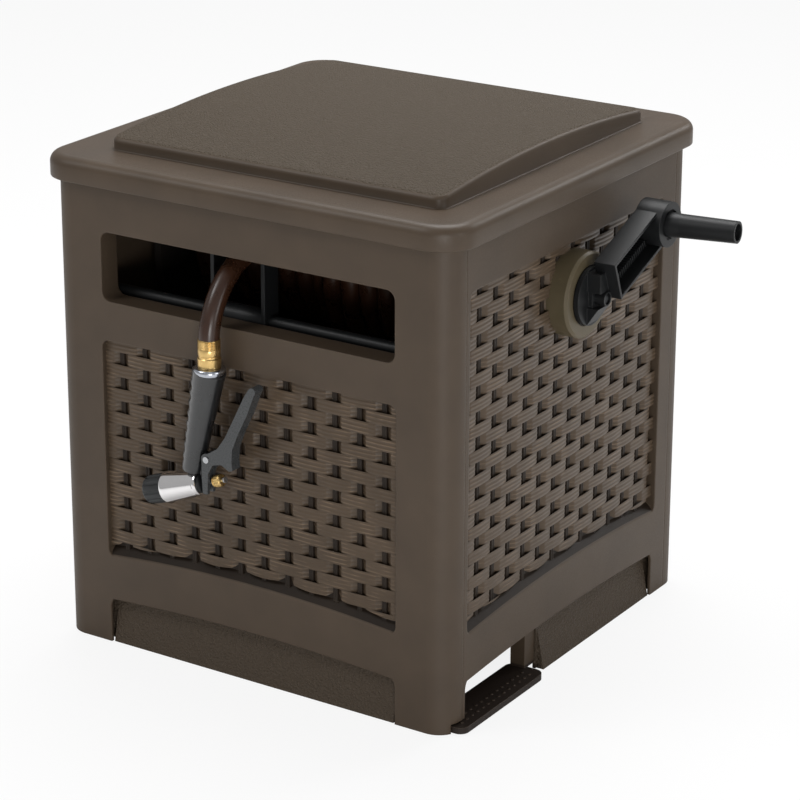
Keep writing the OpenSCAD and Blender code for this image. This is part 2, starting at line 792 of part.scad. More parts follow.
module grip_pin() color(steel) at_grip() {
    translate([0, 0, -27]) cylinder(h = 27 + grip_len * 0.6, r = grip_pin_r);
    translate([0, 0, grip_len * 0.6]) cylinder(h = 3, r = 7);
}

module crank_grip() color(black) at_grip() difference() {
    union() {
        translate([0, 0, 0.5]) cylinder(h = 6, r = grip_base_r);
        translate([0, 0, 6.5]) cylinder(h = 12, r1 = grip_base_r, r2 = grip_r + 1);
        translate([0, 0, 18.5]) cylinder(h = grip_len - 18.5, r1 = grip_r + 1, r2 = grip_r);
    }
    translate([0, 0, -1]) cylinder(h = grip_len + 2, r = grip_pin_r + run_fit);
    translate([0, 0, grip_len * 0.6 - 0.3]) cylinder(h = grip_len, r = grip_r - 3);
}

// Guide
module guide_rod() color(black) along_x(-rod_end, rod_end, rod_r, rod_y, rod_z);
module guide_rail() color(black) along_x(-rod_end, rod_end, rail_r, rod_y, rail_z);

module hose_guide() color(black) difference() {
    outer = guide_half + guide_cheek;
    y0 = rod_y - guide_depth / 2;
    y1 = rod_y + guide_depth / 2;
    union() {
        for (side = [-1, 1]) {
            x = guide_x + side * (guide_half + guide_cheek / 2);
            block(x - guide_cheek / 2, x + guide_cheek / 2, y0, y1, rod_z - 4, rail_z + rail_sleeve_r - 2);
        }
        along_x(guide_x - outer, guide_x + outer, sleeve_r, rod_y, rod_z);
        along_x(guide_x - outer, guide_x + outer, rail_sleeve_r, rod_y, rail_z);
    }
    along_x(guide_x - outer - 1, guide_x + outer + 1, rod_r + run_fit, rod_y, rod_z);
    along_x(guide_x - outer - 1, guide_x + outer + 1, rail_r + run_fit, rod_y, rail_z);
}

// Nozzle
module down(z, y = noz_y) {
    translate([guide_x, y, z]) rotate([180, 0, 0]) children();
}

module hose_coupling() color(brass) difference() {
    down(drop_end_z) {
        cylinder(h = coupling_seat - 3, r = coupling_r);
        translate([0, 0, coupling_seat - 4]) cylinder(h = 5, r = coupling_r - 1);
        translate([0, 0, coupling_seat]) cylinder(h = coupling_len - coupling_seat, r = coupling_r + 0.5);
    }
    down(drop_end_z - coupling_seat) cylinder(h = coupling_len, r = 11);
    down(drop_end_z - 1.5) cylinder(h = coupling_len, r = 7);
}

module coupling_washer() color(black) difference() {
    down(drop_end_z - coupling_seat) cylinder(h = 2.5, r = 10.9);
    down(drop_end_z - coupling_seat + 1) cylinder(h = 5, r = 6);
}

module at_grip_axis() {
    translate([guide_x, noz_y, grip_top_z]) rotate([0, 180 + noz_lean, 0]) children();
}

module nozzle_collar() color([0.6, 0.6, 0.6]) difference() {
    down(drop_end_z - coupling_len) cylinder(h = collar_len, r = collar_r);
    down(drop_end_z - coupling_len + 1) cylinder(h = collar_len + 2, r = 10.8);
}

module at_barrel() {
    translate([barrel_at[0], noz_y, barrel_at[1]]) rotate([0, -90 - barrel_tilt, 0]) children();
}

module nozzle_body() color(grey) difference() {
    union() {
        difference() {
            at_grip_axis() cylinder(h = noz_grip_len, r1 = noz_grip_r0, r2 = noz_grip_r1);
            down(drop_end_z - coupling_len + 10) cylinder(h = collar_len + 10.2, r = 60);
        }
        down(drop_end_z - coupling_seat - 2.8) cylinder(h = 26, r = 10.6);
        at_barrel() translate([0, 0, -3]) cylinder(h = shell_len, r = core_tube_r);
        at_barrel() translate([0, 0, 40]) cylinder(h = 32, r = 9.5);
        translate([lever_at[0], noz_y + 3, lever_at[1]]) rotate([90, 0, 0]) linear_extrude(6)
            polygon([[-12, -30], [-8, -22], [3, -4], [4, 3], [0, 6], [-22, 10]]);
    }
    at_barrel() translate([0, 0, -5]) cylinder(h = 45, r = stem_r + 0.1);
    at_barrel() translate([0, 0, 25]) cylinder(h = 60, r = 6);
    down(drop_end_z - coupling_seat + 5) cylinder(h = 60, r = 6);
    lever_bore(lever_pin_r + 0.05);
}

module lever_bore(r) {
    translate([lever_at[0], noz_y - 15, lever_at[1]]) rotate([-90, 0, 0]) cylinder(h = 30, r = r);
}

module nozzle_shell() color(chrome) difference() {
    at_barrel() {
        cylinder(h = shell_len - 6, r1 = shell_r0, r2 = shell_r1);
        translate([0, 0, shell_len - 6]) cylinder(h = 6, r = shell_r1);
    }
    at_barrel() translate([0, 0, -1]) cylinder(h = shell_len + 2, r = core_tube_r + 0.2);
    at_grip_axis() translate([0, 0, 60]) cylinder(h = noz_grip_len - 59, r = noz_grip_r1 + 4.6);
}

module nozzle_tip() color(black) difference() {
    at_barrel() translate([0, 0, shell_len]) {
        cylinder(h = tip_len, r = tip_r - 1);
        for (k = [0 : 3]) translate([0, 0, 2 + k * 7]) cylinder(h = 4, r = tip_r);
    }
    at_barrel() translate([0, 0, shell_len - 1]) cylinder(h = tip_len - 7, r = 9.7);
    at_barrel() translate([0, 0, shell_len + tip_len - 9]) cylinder(h = 10, r = 5);
    at_barrel() translate([0, 0, shell_len + tip_len - 5]) cylinder(h = 6, r1 = 6, r2 = 13);
}

module lever_pin() color(steel) {
    translate([lever_at[0], noz_y - lever_half - 1.5, lever_at[1]]) rotate([-90, 0, 0]) {
        cylinder(h = 2 * lever_half + 3, r = lever_pin_r);
        cylinder(h = 1.4, r = lever_pin_r + 1.5);
        translate([0, 0, 2 * lever_half + 1.6]) cylinder(h = 1.4, r = lever_pin_r + 1.5);
    }
}

module nozzle_lever() color(grey) difference() {
    translate([lever_at[0], noz_y + lever_half, lever_at[1]]) rotate([90, 0, 0]) {
        linear_extrude(2 * lever_half) polygon([
            [72, 98], [60, 68], [47, 42], [38, 20], [37, 4], [38, -6], [33, -8], [22, -2], [9, -5],
            [2, -18], [1, -44], [-6, -44], [-7, -24], [-7, -4], [-6, 5], [2, 8], [16, 17], [28, 34],
            [41, 60], [56, 90], [63, 101]]);
        cylinder(h = 2 * lever_half, r = 7.5);
        translate([67.5, 98.5, 0]) cylinder(h = 2 * lever_half, r = 5);
    }
    translate([lever_at[0] - 20, noz_y - lever_slot, lever_at[1] - 60]) cube([32, 2 * lever_slot, 70]);
    lever_bore(lever_pin_r + run_fit);
}

module valve_stem() color(steel) at_barrel() {
    translate([0, 0, nut_z0 - 4]) cylinder(h = 24 - nut_z0 + 4, r = stem_r);
    translate([0, 0, nut_z0 - 5]) cylinder(h = 2, r = stem_r + 1.2);
}

module flow_nut() color(brass) at_barrel() difference() {
    translate([0, 0, nut_z0]) cylinder(h = nut_z1 - nut_z0, r = nut_r);
    translate([0, 0, nut_z0 - 1]) cylinder(h = nut_z1 - nut_z0 + 2, r = stem_r + run_fit);
}

module lid_hinge_pins() color(steel) for (x = hinge_x)
    along_x(x - knuckle_lid / 2 - knuckle_box, x + knuckle_lid / 2 + knuckle_box,
        hinge_pin_r, hinge_y, hinge_z);

// Lid
module lid_plan(inset) {
    rrect(-hw - lid_over + inset, hw + lid_over - inset, -hd - lid_over + inset, hd + lid_over - inset,
          lid_corner_r - inset);
}

module lid_shut() difference() {
    union() {
        difference() {
            lid_rim_solid();
            hull() {
                translate([0, 0, lid_valley]) linear_extrude(0.5)
                    rrect(-panel_x - 2, panel_x + 2, panel_y0 - 2, panel_y1 + 2, panel_r + 2);
                translate([0, 0, wall_top + lid_rim + 0.2]) linear_extrude(0.5)
                    rrect(-hw + 4, hw - 4, -hd + 4, hd - 4, lid_corner_r - 17);
            }
        }
        panel_solid(0);
        for (x = hinge_x) {
            along_x(x - knuckle_lid / 2, x + knuckle_lid / 2, hinge_r, hinge_y, hinge_z);
            block(x - knuckle_lid / 2, x + knuckle_lid / 2, hd + lid_over - 4, hd + lid_over,
                hinge_z, lid_z0 + 4);
        }
    }
    translate([0, 0, lid_z0 - 1]) linear_extrude(lid_skirt + 1) lid_plan(4);
    panel_solid(4);
    for (x = hinge_x) along_x(x - knuckle_lid, x + knuckle_lid, hinge_pin_r + run_fit, hinge_y, hinge_z);
}

module lid_rim_solid() {
    top = wall_top + lid_rim;
    translate([0, 0, lid_z0]) linear_extrude(top - lid_round - lid_z0) lid_plan(0);
    translate([0, 0, top - lid_round - 1]) linear_extrude(lid_round + 1) lid_plan(lid_round);
    cx = hw + lid_over - lid_corner_r;
    cy = hd + lid_over - lid_corner_r;
    for (sx = [-1, 1], sy = [-1, 1]) translate([sx * cx, sy * cy, top - lid_round])
        rotate_extrude() intersection() {
            union() {
                translate([lid_corner_r - lid_round, 0]) circle(lid_round);
                square([lid_corner_r - lid_round, lid_round]);
            }
            square([lid_corner_r, lid_round]);
        }
    for (s = [-1, 1]) {
        along_x(-cx, cx, lid_round, s * (hd + lid_over - lid_round), top - lid_round);
        translate([s * (hw + lid_over - lid_round), -cy, top - lid_round]) rotate([-90, 0, 0])
            cylinder(h = 2 * cy, r = lid_round);
    }
}

module panel_solid(inset) {
    intersection() {
        translate([0, 0, wall_top - 0.5]) linear_extrude(lid_crown + 5)
            rrect(-panel_x + inset, panel_x - inset, panel_y0 + inset, panel_y1 - inset, panel_r - inset);
        translate([-hw, panel_mid, wall_top + lid_crown - panel_big_r]) rotate([0, 90, 0])
            cylinder(h = box_w, r = panel_big_r - inset, $fn = fine);
    }
}

module lid() color(brown) translate([0, hinge_y, hinge_z]) rotate([-lid_angle, 0, 0])
    translate([0, -hinge_y, -hinge_z]) lid_shut();

base_tray();
front_panel();
back_panel();
left_panel();
right_panel();
panel_screws();
base_screws();
foot_step();
foot_step_screws();
crank_bearing();
inlet_bearing();
bearing_screws();
inlet_cap();
inlet_fitting();
inlet_seals();
guide_rod();
guide_rail();
lid_hinge_pins();
lid();
drum();
left_flange();
right_flange();
flange_screws();
water_tube();
hose_core();
hose_winding();
crank_arm();
crank_screw();
grip_pin();
crank_grip();
hose_guide();
hose_lead();
hose_drop();
hose_coupling();
coupling_washer();
nozzle_collar();
nozzle_body();
nozzle_shell();
nozzle_tip();
lever_pin();
nozzle_lever();
valve_stem();
flow_nut();
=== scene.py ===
"""Looks of the hose reel box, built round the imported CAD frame. Metres, Z up, X to the crank side."""
import json
import math

import bmesh
import bpy
from mathutils import Matrix, Vector


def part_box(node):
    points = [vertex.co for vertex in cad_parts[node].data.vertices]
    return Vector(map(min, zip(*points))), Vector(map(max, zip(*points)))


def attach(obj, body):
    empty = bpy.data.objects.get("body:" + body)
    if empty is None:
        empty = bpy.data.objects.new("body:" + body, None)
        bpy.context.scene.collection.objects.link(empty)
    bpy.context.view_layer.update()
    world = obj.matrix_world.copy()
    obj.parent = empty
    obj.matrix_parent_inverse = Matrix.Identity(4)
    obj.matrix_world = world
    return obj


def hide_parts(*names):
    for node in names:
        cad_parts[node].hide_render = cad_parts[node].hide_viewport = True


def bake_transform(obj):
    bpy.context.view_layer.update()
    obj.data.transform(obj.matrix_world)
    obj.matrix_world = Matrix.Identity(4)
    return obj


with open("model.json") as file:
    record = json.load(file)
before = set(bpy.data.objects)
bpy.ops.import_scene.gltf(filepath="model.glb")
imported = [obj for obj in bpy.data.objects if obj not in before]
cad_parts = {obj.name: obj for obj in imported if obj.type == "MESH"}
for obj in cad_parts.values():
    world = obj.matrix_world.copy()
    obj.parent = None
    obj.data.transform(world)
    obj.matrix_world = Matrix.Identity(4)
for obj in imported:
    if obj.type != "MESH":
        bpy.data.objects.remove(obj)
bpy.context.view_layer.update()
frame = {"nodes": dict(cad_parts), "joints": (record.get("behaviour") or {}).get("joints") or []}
NODES = frame["nodes"]
MM = 0.001

# Sizes taken from the frame
WALL_LO, WALL_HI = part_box("front_panel")
FRONT_Y = WALL_LO.y
HALF_D = -FRONT_Y
WALL_TOP = WALL_HI.z
SIDE_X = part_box("right_panel")[1].x
JOINTS = {j["name"]: j for j in frame["joints"]}
AXLE = Vector(JOINTS["reel_spin"]["pos_m"])
HINGE = Vector(JOINTS["lid_hinge"]["pos_m"])
GUIDE_LO, GUIDE_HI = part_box("hose_guide")
GUIDE_X = (GUIDE_LO.x + GUIDE_HI.x) / 2
HOSE_D = 25 * MM


# Colour and material helpers

def srgb(r, g, b):
    """Linear colour of an sRGB triple in 0 to 255."""
    def channel(v):
        v /= 255
        return v / 12.92 if v <= 0.04045 else ((v + 0.055) / 1.055) ** 2.4
    return (channel(r), channel(g), channel(b), 1.0)


def shade(colour, factor):
    return tuple(c * factor for c in colour[:3]) + (1.0,)


# A level line is seen where its cosine is above this
LINE_FROM = 0.4
# Samples of a rounded edge, and the cosines to the true normal where its painted highlight starts and is
# full
BEVEL_SAMPLES = 4
EDGE_HIGHLIGHT_START = 0.99
EDGE_HIGHLIGHT_FULL = 0.86


class Nodes:
    """A small wrapper that adds shader nodes to a new material."""

    def __init__(self, name):
        self.material = bpy.data.materials.new(name)
        self.material.use_nodes = True
        self.tree = self.material.node_tree
        self.shader = self.tree.nodes["Principled BSDF"]
        self.coords = self.add("ShaderNodeTexCoord").outputs["Object"]

    def add(self, kind, **values):
        node = self.tree.nodes.new(kind)
        for key, value in values.items():
            setattr(node, key, value)
        return node

    def link(self, out, into):
        self.tree.links.new(out, into)

    def noise(self, scale, detail, rough=0.55, stretch=None):
        node = self.add("ShaderNodeTexNoise")
        node.inputs["Scale"].default_value = scale
        node.inputs["Detail"].default_value = detail
        node.inputs["Roughness"].default_value = rough
        source = self.coords
        if stretch:
            mapping = self.add("ShaderNodeMapping")
            mapping.inputs["Scale"].default_value = stretch
            self.link(self.coords, mapping.inputs["Vector"])
            source = mapping.outputs["Vector"]
        self.link(source, node.inputs["Vector"])
        return node.outputs["Fac"]

    def cells(self, scale, smooth):
        node = self.add("ShaderNodeTexVoronoi", feature="SMOOTH_F1")
        node.inputs["Scale"].default_value = scale
        node.inputs["Smoothness"].default_value = smooth
        self.link(self.coords, node.inputs["Vector"])
        return node.outputs["Distance"]

    def remap(self, value, lo, hi, out_lo, out_hi):
        node = self.add("ShaderNodeMapRange")
        for key, number in zip(("From Min", "From Max", "To Min", "To Max"), (lo, hi, out_lo, out_hi)):
            node.inputs[key].default_value = number
        self.link(value, node.inputs["Value"])
        return node.outputs["Result"]

    def math(self, operation, a, b):
        node = self.add("ShaderNodeMath", operation=operation)
        for socket, value in zip(node.inputs, (a, b)):
            if isinstance(value, (int, float)):
                socket.default_value = value
            else:
                self.link(value, socket)
        return node.outputs["Value"]

    def mix(self, factor, a, b):
        node = self.add("ShaderNodeMix", data_type="RGBA")
        self.link(factor, node.inputs["Factor"])
        for key, value in (("A", a), ("B", b)):
            socket = next(s for s in node.inputs if s.name == key and s.type == "RGBA")
            if isinstance(value, tuple):
                socket.default_value = value
            else:
                self.link(value, socket)
        return next(s for s in node.outputs if s.type == "RGBA")

    def height(self):
        node = self.add("ShaderNodeSeparateXYZ")
        self.link(self.coords, node.inputs["Vector"])
        return node.outputs["Z"]

    def lines(self, period, level):
        """1 along level lines a period apart, one of them at the height level, and 0 between them."""
        turn = self.math("MULTIPLY", self.math("SUBTRACT", self.height(), level), 2 * math.pi / period)
        return self.remap(self.math("COSINE", turn, 0.0), LINE_FROM, 1.0, 0.0, 1.0)

    def rounded(self, radius):
        """Normal with the part's sharp edges rounded."""
        node = self.add("ShaderNodeBevel", samples=BEVEL_SAMPLES)
        node.inputs["Radius"].default_value = radius
        return node.outputs["Normal"]

    def edges(self, rounded):
        """Mask for the painted edge highlight: 0 on flat places, 1 where the rounded normal leaves the true
        one.
        """
        node = self.add("ShaderNodeVectorMath", operation="DOT_PRODUCT")
        self.link(rounded, node.inputs[0])
        self.link(self.add("ShaderNodeNewGeometry").outputs["Normal"], node.inputs[1])
        return self.remap(node.outputs["Value"], EDGE_HIGHLIGHT_START, EDGE_HIGHLIGHT_FULL, 0.0, 1.0)

    def bump(self, height, strength, distance, under=None):
        node = self.add("ShaderNodeBump")
        node.inputs["Strength"].default_value = strength
        node.inputs["Distance"].default_value = distance
        self.link(height, node.inputs["Height"])
        if under is not None:
            self.link(under, node.inputs["Normal"])
        return node.outputs["Normal"]


# Most values of a noise lie in this range
NOISE_RANGE = (0.3, 0.7)
# How far the roughness goes below and above a material's own
ROUGH_LESS = 0.06
ROUGH_MORE = 0.08

# Plastic: noise scales per metre, shares of the second colour, and tones against the material's colour
BLOTCH_SCALE = 14.0
SPECK_RANGE = (0.62, 0.78)
SPECK_SHARE = 0.35
SPECK_TONE = 1.5
# Blur of the top edge of the painted shade low down
FOOT_SHADE_BLUR = MM
# Painted highlights along the strands' ribs
RIB_HIGHLIGHT_SCALE = 34.0
RIB_HIGHLIGHT_RANGE = (0.46, 0.66)
RIB_HIGHLIGHT_SHARE = 0.75
RIB_HIGHLIGHT_TONE = 2.3
# Painted highlight along rounded edges
EDGE_HIGHLIGHT_SHARE = 0.55
EDGE_HIGHLIGHT_TONE = 1.8
GRAIN_BUMP = 0.35
CREASE_SMOOTH = 0.6
CREASE_WIDTH = 0.7
PORES_FINER = 2.2
PORE_SHARE = 0.6
LEATHER_BUMP = (0.9, 0.0018)
# Leather colour: painted shade in the creases and painted light on the raised cells
LEATHER_RANGE = (0.9, 1.35)
LEATHER_SHARE = 0.7
LEATHER_CREASE_SHADE = 0.74
LEATHER_CELL_LIGHT = 1.32


def plastic(name, colour, rough, grain=900.0, depth=0.00012, mottle=0.1, specular=0.4, leather=0.0,
            edge=0.0, foot=None, ribs=None):
    """Moulded plastic, mottled and grained. Where asked for, it gets a painted highlight on rounded edges,
    painted shade below a height or painted highlights on ribs.

    Leather takes painted shade in its creases and painted light on its raised cells, in place of all these
    colours.
    """
    m = Nodes(name)
    broad = m.noise(BLOTCH_SCALE, 3.0)
    fine = m.noise(grain, 2.0)
    blotches = m.remap(broad, *NOISE_RANGE, 0.0, 1.0)
    base = m.mix(blotches, shade(colour, 1 - mottle), shade(colour, 1 + mottle))
    speck = m.mix(m.remap(fine, *SPECK_RANGE, 0.0, SPECK_SHARE), base, shade(colour, SPECK_TONE))
    # Painted shade: darker below a given height
    if foot:
        level, under = foot
        above = m.remap(m.height(), level - FOOT_SHADE_BLUR, level + FOOT_SHADE_BLUR, 0.0, 1.0)
        speck = m.mix(above, under, speck)
    # Painted highlights: lighter level lines along the ribs, broken up by noise
    if ribs:
        rib_highlight = m.remap(m.noise(RIB_HIGHLIGHT_SCALE, 2.0), *RIB_HIGHLIGHT_RANGE, 0.0, RIB_HIGHLIGHT_SHARE)
        speck = m.mix(m.math("MULTIPLY", m.lines(*ribs), rib_highlight), speck, shade(colour, RIB_HIGHLIGHT_TONE))
    rounded = None
    # Rounded edges, with a painted highlight along them
    if edge:
        rounded = m.rounded(edge * MM)
        speck = m.mix(m.math("MULTIPLY", m.edges(rounded), EDGE_HIGHLIGHT_SHARE), speck, shade(colour, EDGE_HIGHLIGHT_TONE))
    roughness = m.remap(fine, *NOISE_RANGE, rough - ROUGH_LESS, rough + ROUGH_MORE)
    m.link(roughness, m.shader.inputs["Roughness"])
    m.shader.inputs["Specular IOR Level"].default_value = specular
    normal = m.bump(fine, GRAIN_BUMP, depth, rounded)
    # Leather grain: bumps, with painted shade in its creases and painted light on its raised cells
    if leather:
        creases = m.remap(m.cells(leather, CREASE_SMOOTH), 0.0, CREASE_WIDTH, 1.0, 0.0)
        pores = m.noise(leather * PORES_FINER, 3.0)
        height = m.math("ADD", creases, m.math("MULTIPLY", pores, PORE_SHARE))
        normal = m.bump(height, *LEATHER_BUMP, normal)
        raised = m.remap(height, *LEATHER_RANGE, 0.0, LEATHER_SHARE)
        speck = m.mix(raised, shade(colour, LEATHER_CREASE_SHADE), shade(colour, LEATHER_CELL_LIGHT))
    m.link(speck, m.shader.inputs["Base Color"])
    m.link(normal, m.shader.inputs["Normal"])
    return m.material


# Rubber: noise scales per metre, tones, and the spread of the roughness
RUBBER_BLOTCHES = 40.0
RUBBER_GRAIN = 1600.0
RUBBER_BUMP = (0.25, 0.0001)
RUBBER_DARK = 0.8
RUBBER_PALE = 1.25
RUBBER_SPREAD = 0.07
COAT_ROUGH = 0.25
RIB_BUMP = (0.3, 0.0002)
RIB_STRETCH = (1.0, 1.0, 0.05)


def rubber(name, colour, rough, ribs=0.0, coat=0.0):
    """Hose or grip rubber: soft mottling, scuffs, and fine lengthwise lines where asked for."""
    m = Nodes(name)
    broad = m.noise(RUBBER_BLOTCHES, 3.0)
    fine = m.noise(RUBBER_GRAIN, 2.0)
    blotches = m.remap(broad, *NOISE_RANGE, 0.0, 1.0)
    base = m.mix(blotches, shade(colour, RUBBER_DARK), shade(colour, RUBBER_PALE))
    m.link(base, m.shader.inputs["Base Color"])
    roughness = m.remap(broad, *NOISE_RANGE, rough - RUBBER_SPREAD, rough + RUBBER_SPREAD)
    m.link(roughness, m.shader.inputs["Roughness"])
    m.shader.inputs["Coat Weight"].default_value = coat
    m.shader.inputs["Coat Roughness"].default_value = COAT_ROUGH
    normal = m.bump(fine, *RUBBER_BUMP)
    if ribs:
        lines = m.noise(ribs, 1.0, 0.4, RIB_STRETCH)
        normal = m.bump(lines, *RIB_BUMP, normal)
    m.link(normal, m.shader.inputs["Normal"])
    return m.material


# Metal: tarnish and turning marks
TARNISH_SCALE = 60.0
TARNISH_RANGE = (0.35, 0.75)
TARNISH_TONE = 0.55
MARK_STRETCH = (1.0, 1.0, 0.08)
MARK_BUMP = (0.12, 0.00008)
LEAST_ROUGH = 0.02


def metal(name, colour, rough, scratch=600.0, stretch=MARK_STRETCH, tarnish=0.25):
    """Metal with fine turning marks and a little tarnish."""
    m = Nodes(name)
    lines = m.noise(scratch, 3.0, 0.6, stretch)
    broad = m.noise(TARNISH_SCALE, 3.0)
    base = m.mix(m.remap(broad, *TARNISH_RANGE, 0.0, tarnish), colour, shade(colour, TARNISH_TONE))
    m.link(base, m.shader.inputs["Base Color"])
    roughness = m.remap(lines, *NOISE_RANGE, max(rough - ROUGH_LESS, LEAST_ROUGH), rough + ROUGH_MORE)
    m.link(roughness, m.shader.inputs["Roughness"])
    m.shader.inputs["Metallic"].default_value = 1.0
    m.link(m.bump(lines, *MARK_BUMP), m.shader.inputs["Normal"])
    return m.material


# Rows of the woven fields, in millimetres, and the number of ribs along a strand
ROW_PITCH = 15.6
ROW_Z = 377.2
STRAND_RIBS = 3

# The foot step has painted shade up to this height, where the box above shades it
STEP_SHADE_TOP = 12 * MM

BROWN = srgb(72, 60, 48)
MAT = {
    # edge= rounds the edges and paints a highlight along them
    "panel": plastic("panel_plastic", BROWN, 0.5, specular=0.32, edge=3.2),
    # The weave's ribs carry painted highlights
    "weave": plastic("weave_plastic", srgb(79, 66, 53), 0.34, grain=700.0, depth=0.00005, mottle=0.12,
                     specular=0.24, ribs=(ROW_PITCH / STRAND_RIBS * MM, ROW_Z * MM)),
    # Painted shade: a dark copy of the weave's colour for the stakes, the pocket floors and the groove
    # sheet
    "stake": plastic("stake_painted_shade", srgb(38, 30, 23), 0.5, grain=700.0, depth=0.0001, mottle=0.2,
                     specular=0.2),
    "lid_rim": plastic("lid_rim_plastic", srgb(73, 61, 49), 0.42, specular=0.3),
    # The leather on the lid top and skirt carries painted shade and painted light
    "lid_top": plastic("lid_top_plastic", srgb(87, 76, 63), 0.55, grain=1200.0, depth=0.0001,
                       specular=0.16, leather=420.0),
    "skirt": plastic("skirt_plastic", srgb(82, 70, 57), 0.55, depth=0.0002, specular=0.25, leather=330.0,
                     edge=1.2),
    # The step's plate is darkened low down as painted shade
    "step": plastic("step_plastic", BROWN, 0.46, specular=0.24, edge=1.2,
                    foot=(STEP_SHADE_TOP, srgb(42, 34, 29))),
    "ring": plastic("ring_plastic", srgb(84, 75, 57), 0.4, specular=0.25, edge=1.6),
    "black": plastic("black_plastic", srgb(22, 23, 24), 0.42, depth=0.0001, specular=0.28, edge=1.4),
    "reel": plastic("reel_plastic", srgb(32, 28, 25), 0.45),
    "grey": plastic("grey_plastic", srgb(96, 98, 98), 0.4),
    "hose": rubber("hose_rubber", srgb(50, 29, 17), 0.3, ribs=900.0),
    "grip": rubber("grip_rubber", srgb(24, 25, 26), 0.3, coat=0.7),
    "tip": rubber("tip_rubber", srgb(30, 32, 33), 0.5),
    "seal": rubber("seal_rubber", srgb(24, 24, 24), 0.5),
    "lever": plastic("lever_coat", srgb(58, 60, 61), 0.28, depth=0.0001, specular=0.5),
    "steel": metal("zinc_steel", srgb(186, 188, 190), 0.3),
    "dark_steel": metal("blackened_steel", srgb(52, 53, 55), 0.42),
    "brass": metal("brass", srgb(222, 188, 124), 0.3),
    "chrome": metal("chrome", srgb(238, 236, 236), 0.07, scratch=300.0, stretch=(1.0, 1.0, 1.0),
                    tarnish=0.04),
    "collar": metal("collar_metal", srgb(190, 194, 202), 0.2),
}

NODE_MATERIALS = {
    "panel": ["front_panel", "back_panel", "left_panel", "right_panel"],
    "skirt": ["base_tray"],
    "step": ["foot_step"],
    "ring": ["crank_bearing", "inlet_bearing", "inlet_cap"],
    "black": ["guide_rod", "guide_rail", "hose_guide", "crank_arm", "crank_grip"],
    "reel": ["drum", "left_flange", "right_flange"],
    "grey": ["water_tube"],
    "seal": ["inlet_seals", "coupling_washer"],
    "steel": ["panel_screws", "base_screws", "foot_step_screws", "bearing_screws", "lid_hinge_pins",
              "flange_screws", "lever_pin", "valve_stem"],
    "dark_steel": ["crank_screw", "grip_pin"],
    "brass": ["inlet_fitting"],
    "lever": ["nozzle_lever"],
}

# Width of the rounded edges on CAD nodes whose material doesn't round them, in millimetres
EDGE_ROUND = {"nozzle_lever": 2.2}

# Points this close are joined, faces that turn less than the flat angle too, and sharper edges are rounded
WELD_GAP = 0.02 * MM
FLAT_ANGLE = math.radians(0.6)
ROUND_ANGLE = math.radians(38)
ROUND_SEGMENTS = 3
NORMAL_WEIGHT = 80


def soften(obj, width):
    """Joins the CAD triangles into flat faces and rounds the sharp edges."""
    weld = obj.modifiers.new("weld", "WELD")
    weld.merge_threshold = WELD_GAP
    flat = obj.modifiers.new("flat", "DECIMATE")
    flat.decimate_type = "DISSOLVE"
    flat.angle_limit = FLAT_ANGLE
    bevel = obj.modifiers.new("round", "BEVEL")
    bevel.width = width
    bevel.segments = ROUND_SEGMENTS
    bevel.limit_method = "ANGLE"
    bevel.angle_limit = ROUND_ANGLE
    bevel.use_clamp_overlap = True
    even = obj.modifiers.new("even", "WEIGHTED_NORMAL")
    even.keep_sharp = False
    even.weight = NORMAL_WEIGHT


def dress_nodes():
    for key, names in NODE_MATERIALS.items():
        for name in names:
            obj = NODES[name]
            obj.data.materials.clear()
            obj.data.materials.append(MAT[key])
            if name in EDGE_ROUND:
                soften(obj, EDGE_ROUND[name] * MM)


# Mesh helpers

def new_mesh(name, verts, faces, material, smooth=True):
    mesh = bpy.data.meshes.new(name)
    mesh.from_pydata([tuple(v) for v in verts], [], faces)
    mesh.validate()
    mesh.materials.append(MAT[material])
    if smooth:
        mesh.polygons.foreach_set("use_smooth", [True] * len(mesh.polygons))
    obj = bpy.data.objects.new(name, mesh)
    bpy.context.scene.collection.objects.link(obj)
    return obj


def grid_faces(rows, cols, closed, start=0, flip=False):
    """Faces of a grid of points that begins at start. A closed grid joins the ends of each row."""
    faces = []
    for i in range(rows - 1):
        for k in range(cols if closed else cols - 1):
            a = start + i * cols + k
            b = start + i * cols + (k + 1) % cols
            quad = (a, b, b + cols, a + cols)
            faces.append(quad[::-1] if flip else quad)
    return faces


def ring_faces(count, sides):
    """Faces of a skin over count rings of points, with its two ends."""
    faces = grid_faces(count, sides, True)
    faces.append(tuple(range(sides))[::-1])
    faces.append(tuple((count - 1) * sides + k for k in range(sides)))
    return faces


def prism_faces(n, start=0):
    """Faces of a prism between two outlines of n points, which follow each other from start."""
    faces = [tuple(range(start, start + n)), tuple(range(start + 2 * n - 1, start + n - 1, -1))]
    for k in range(n):
        near = start + k
        after = start + (k + 1) % n
        faces.append((near, near + n, after + n, after))
    return faces


def tube(name, path, radius, sides, material, bump=None):
    """A closed tube along path. The ring's first axis leans to X, so neighbouring rings don't twist."""
    verts = []
    count = len(path)
    for i, point in enumerate(path):
        t = (path[min(i + 1, count - 1)] - path[max(i - 1, 0)]).normalized()
        a = (Vector((1, 0, 0)) - t * t.x).normalized()
        b = t.cross(a)
        for k in range(sides):
            w = 2 * math.pi * k / sides
            r = radius * (1 + (bump(w) if bump else 0))
            verts.append(point + r * (math.cos(w) * a + math.sin(w) * b))
    return new_mesh(name, verts, ring_faces(count, sides), material)


def lathe(name, profile, place, material, sides=64, lobes=None):
    """profile is (height, radius) in millimetres from end to end, turned about place's Z axis."""
    verts = []
    for height, radius in profile:
        for k in range(sides):
            w = 2 * math.pi * k / sides
            r = radius * MM * (1 + (lobes(w, height) if lobes else 0))
            verts.append(place @ Vector((r * math.cos(w), r * math.sin(w), height * MM)))
    obj = new_mesh(name, verts, ring_faces(len(profile), sides), material)
    sharp_edges(obj)
    return obj


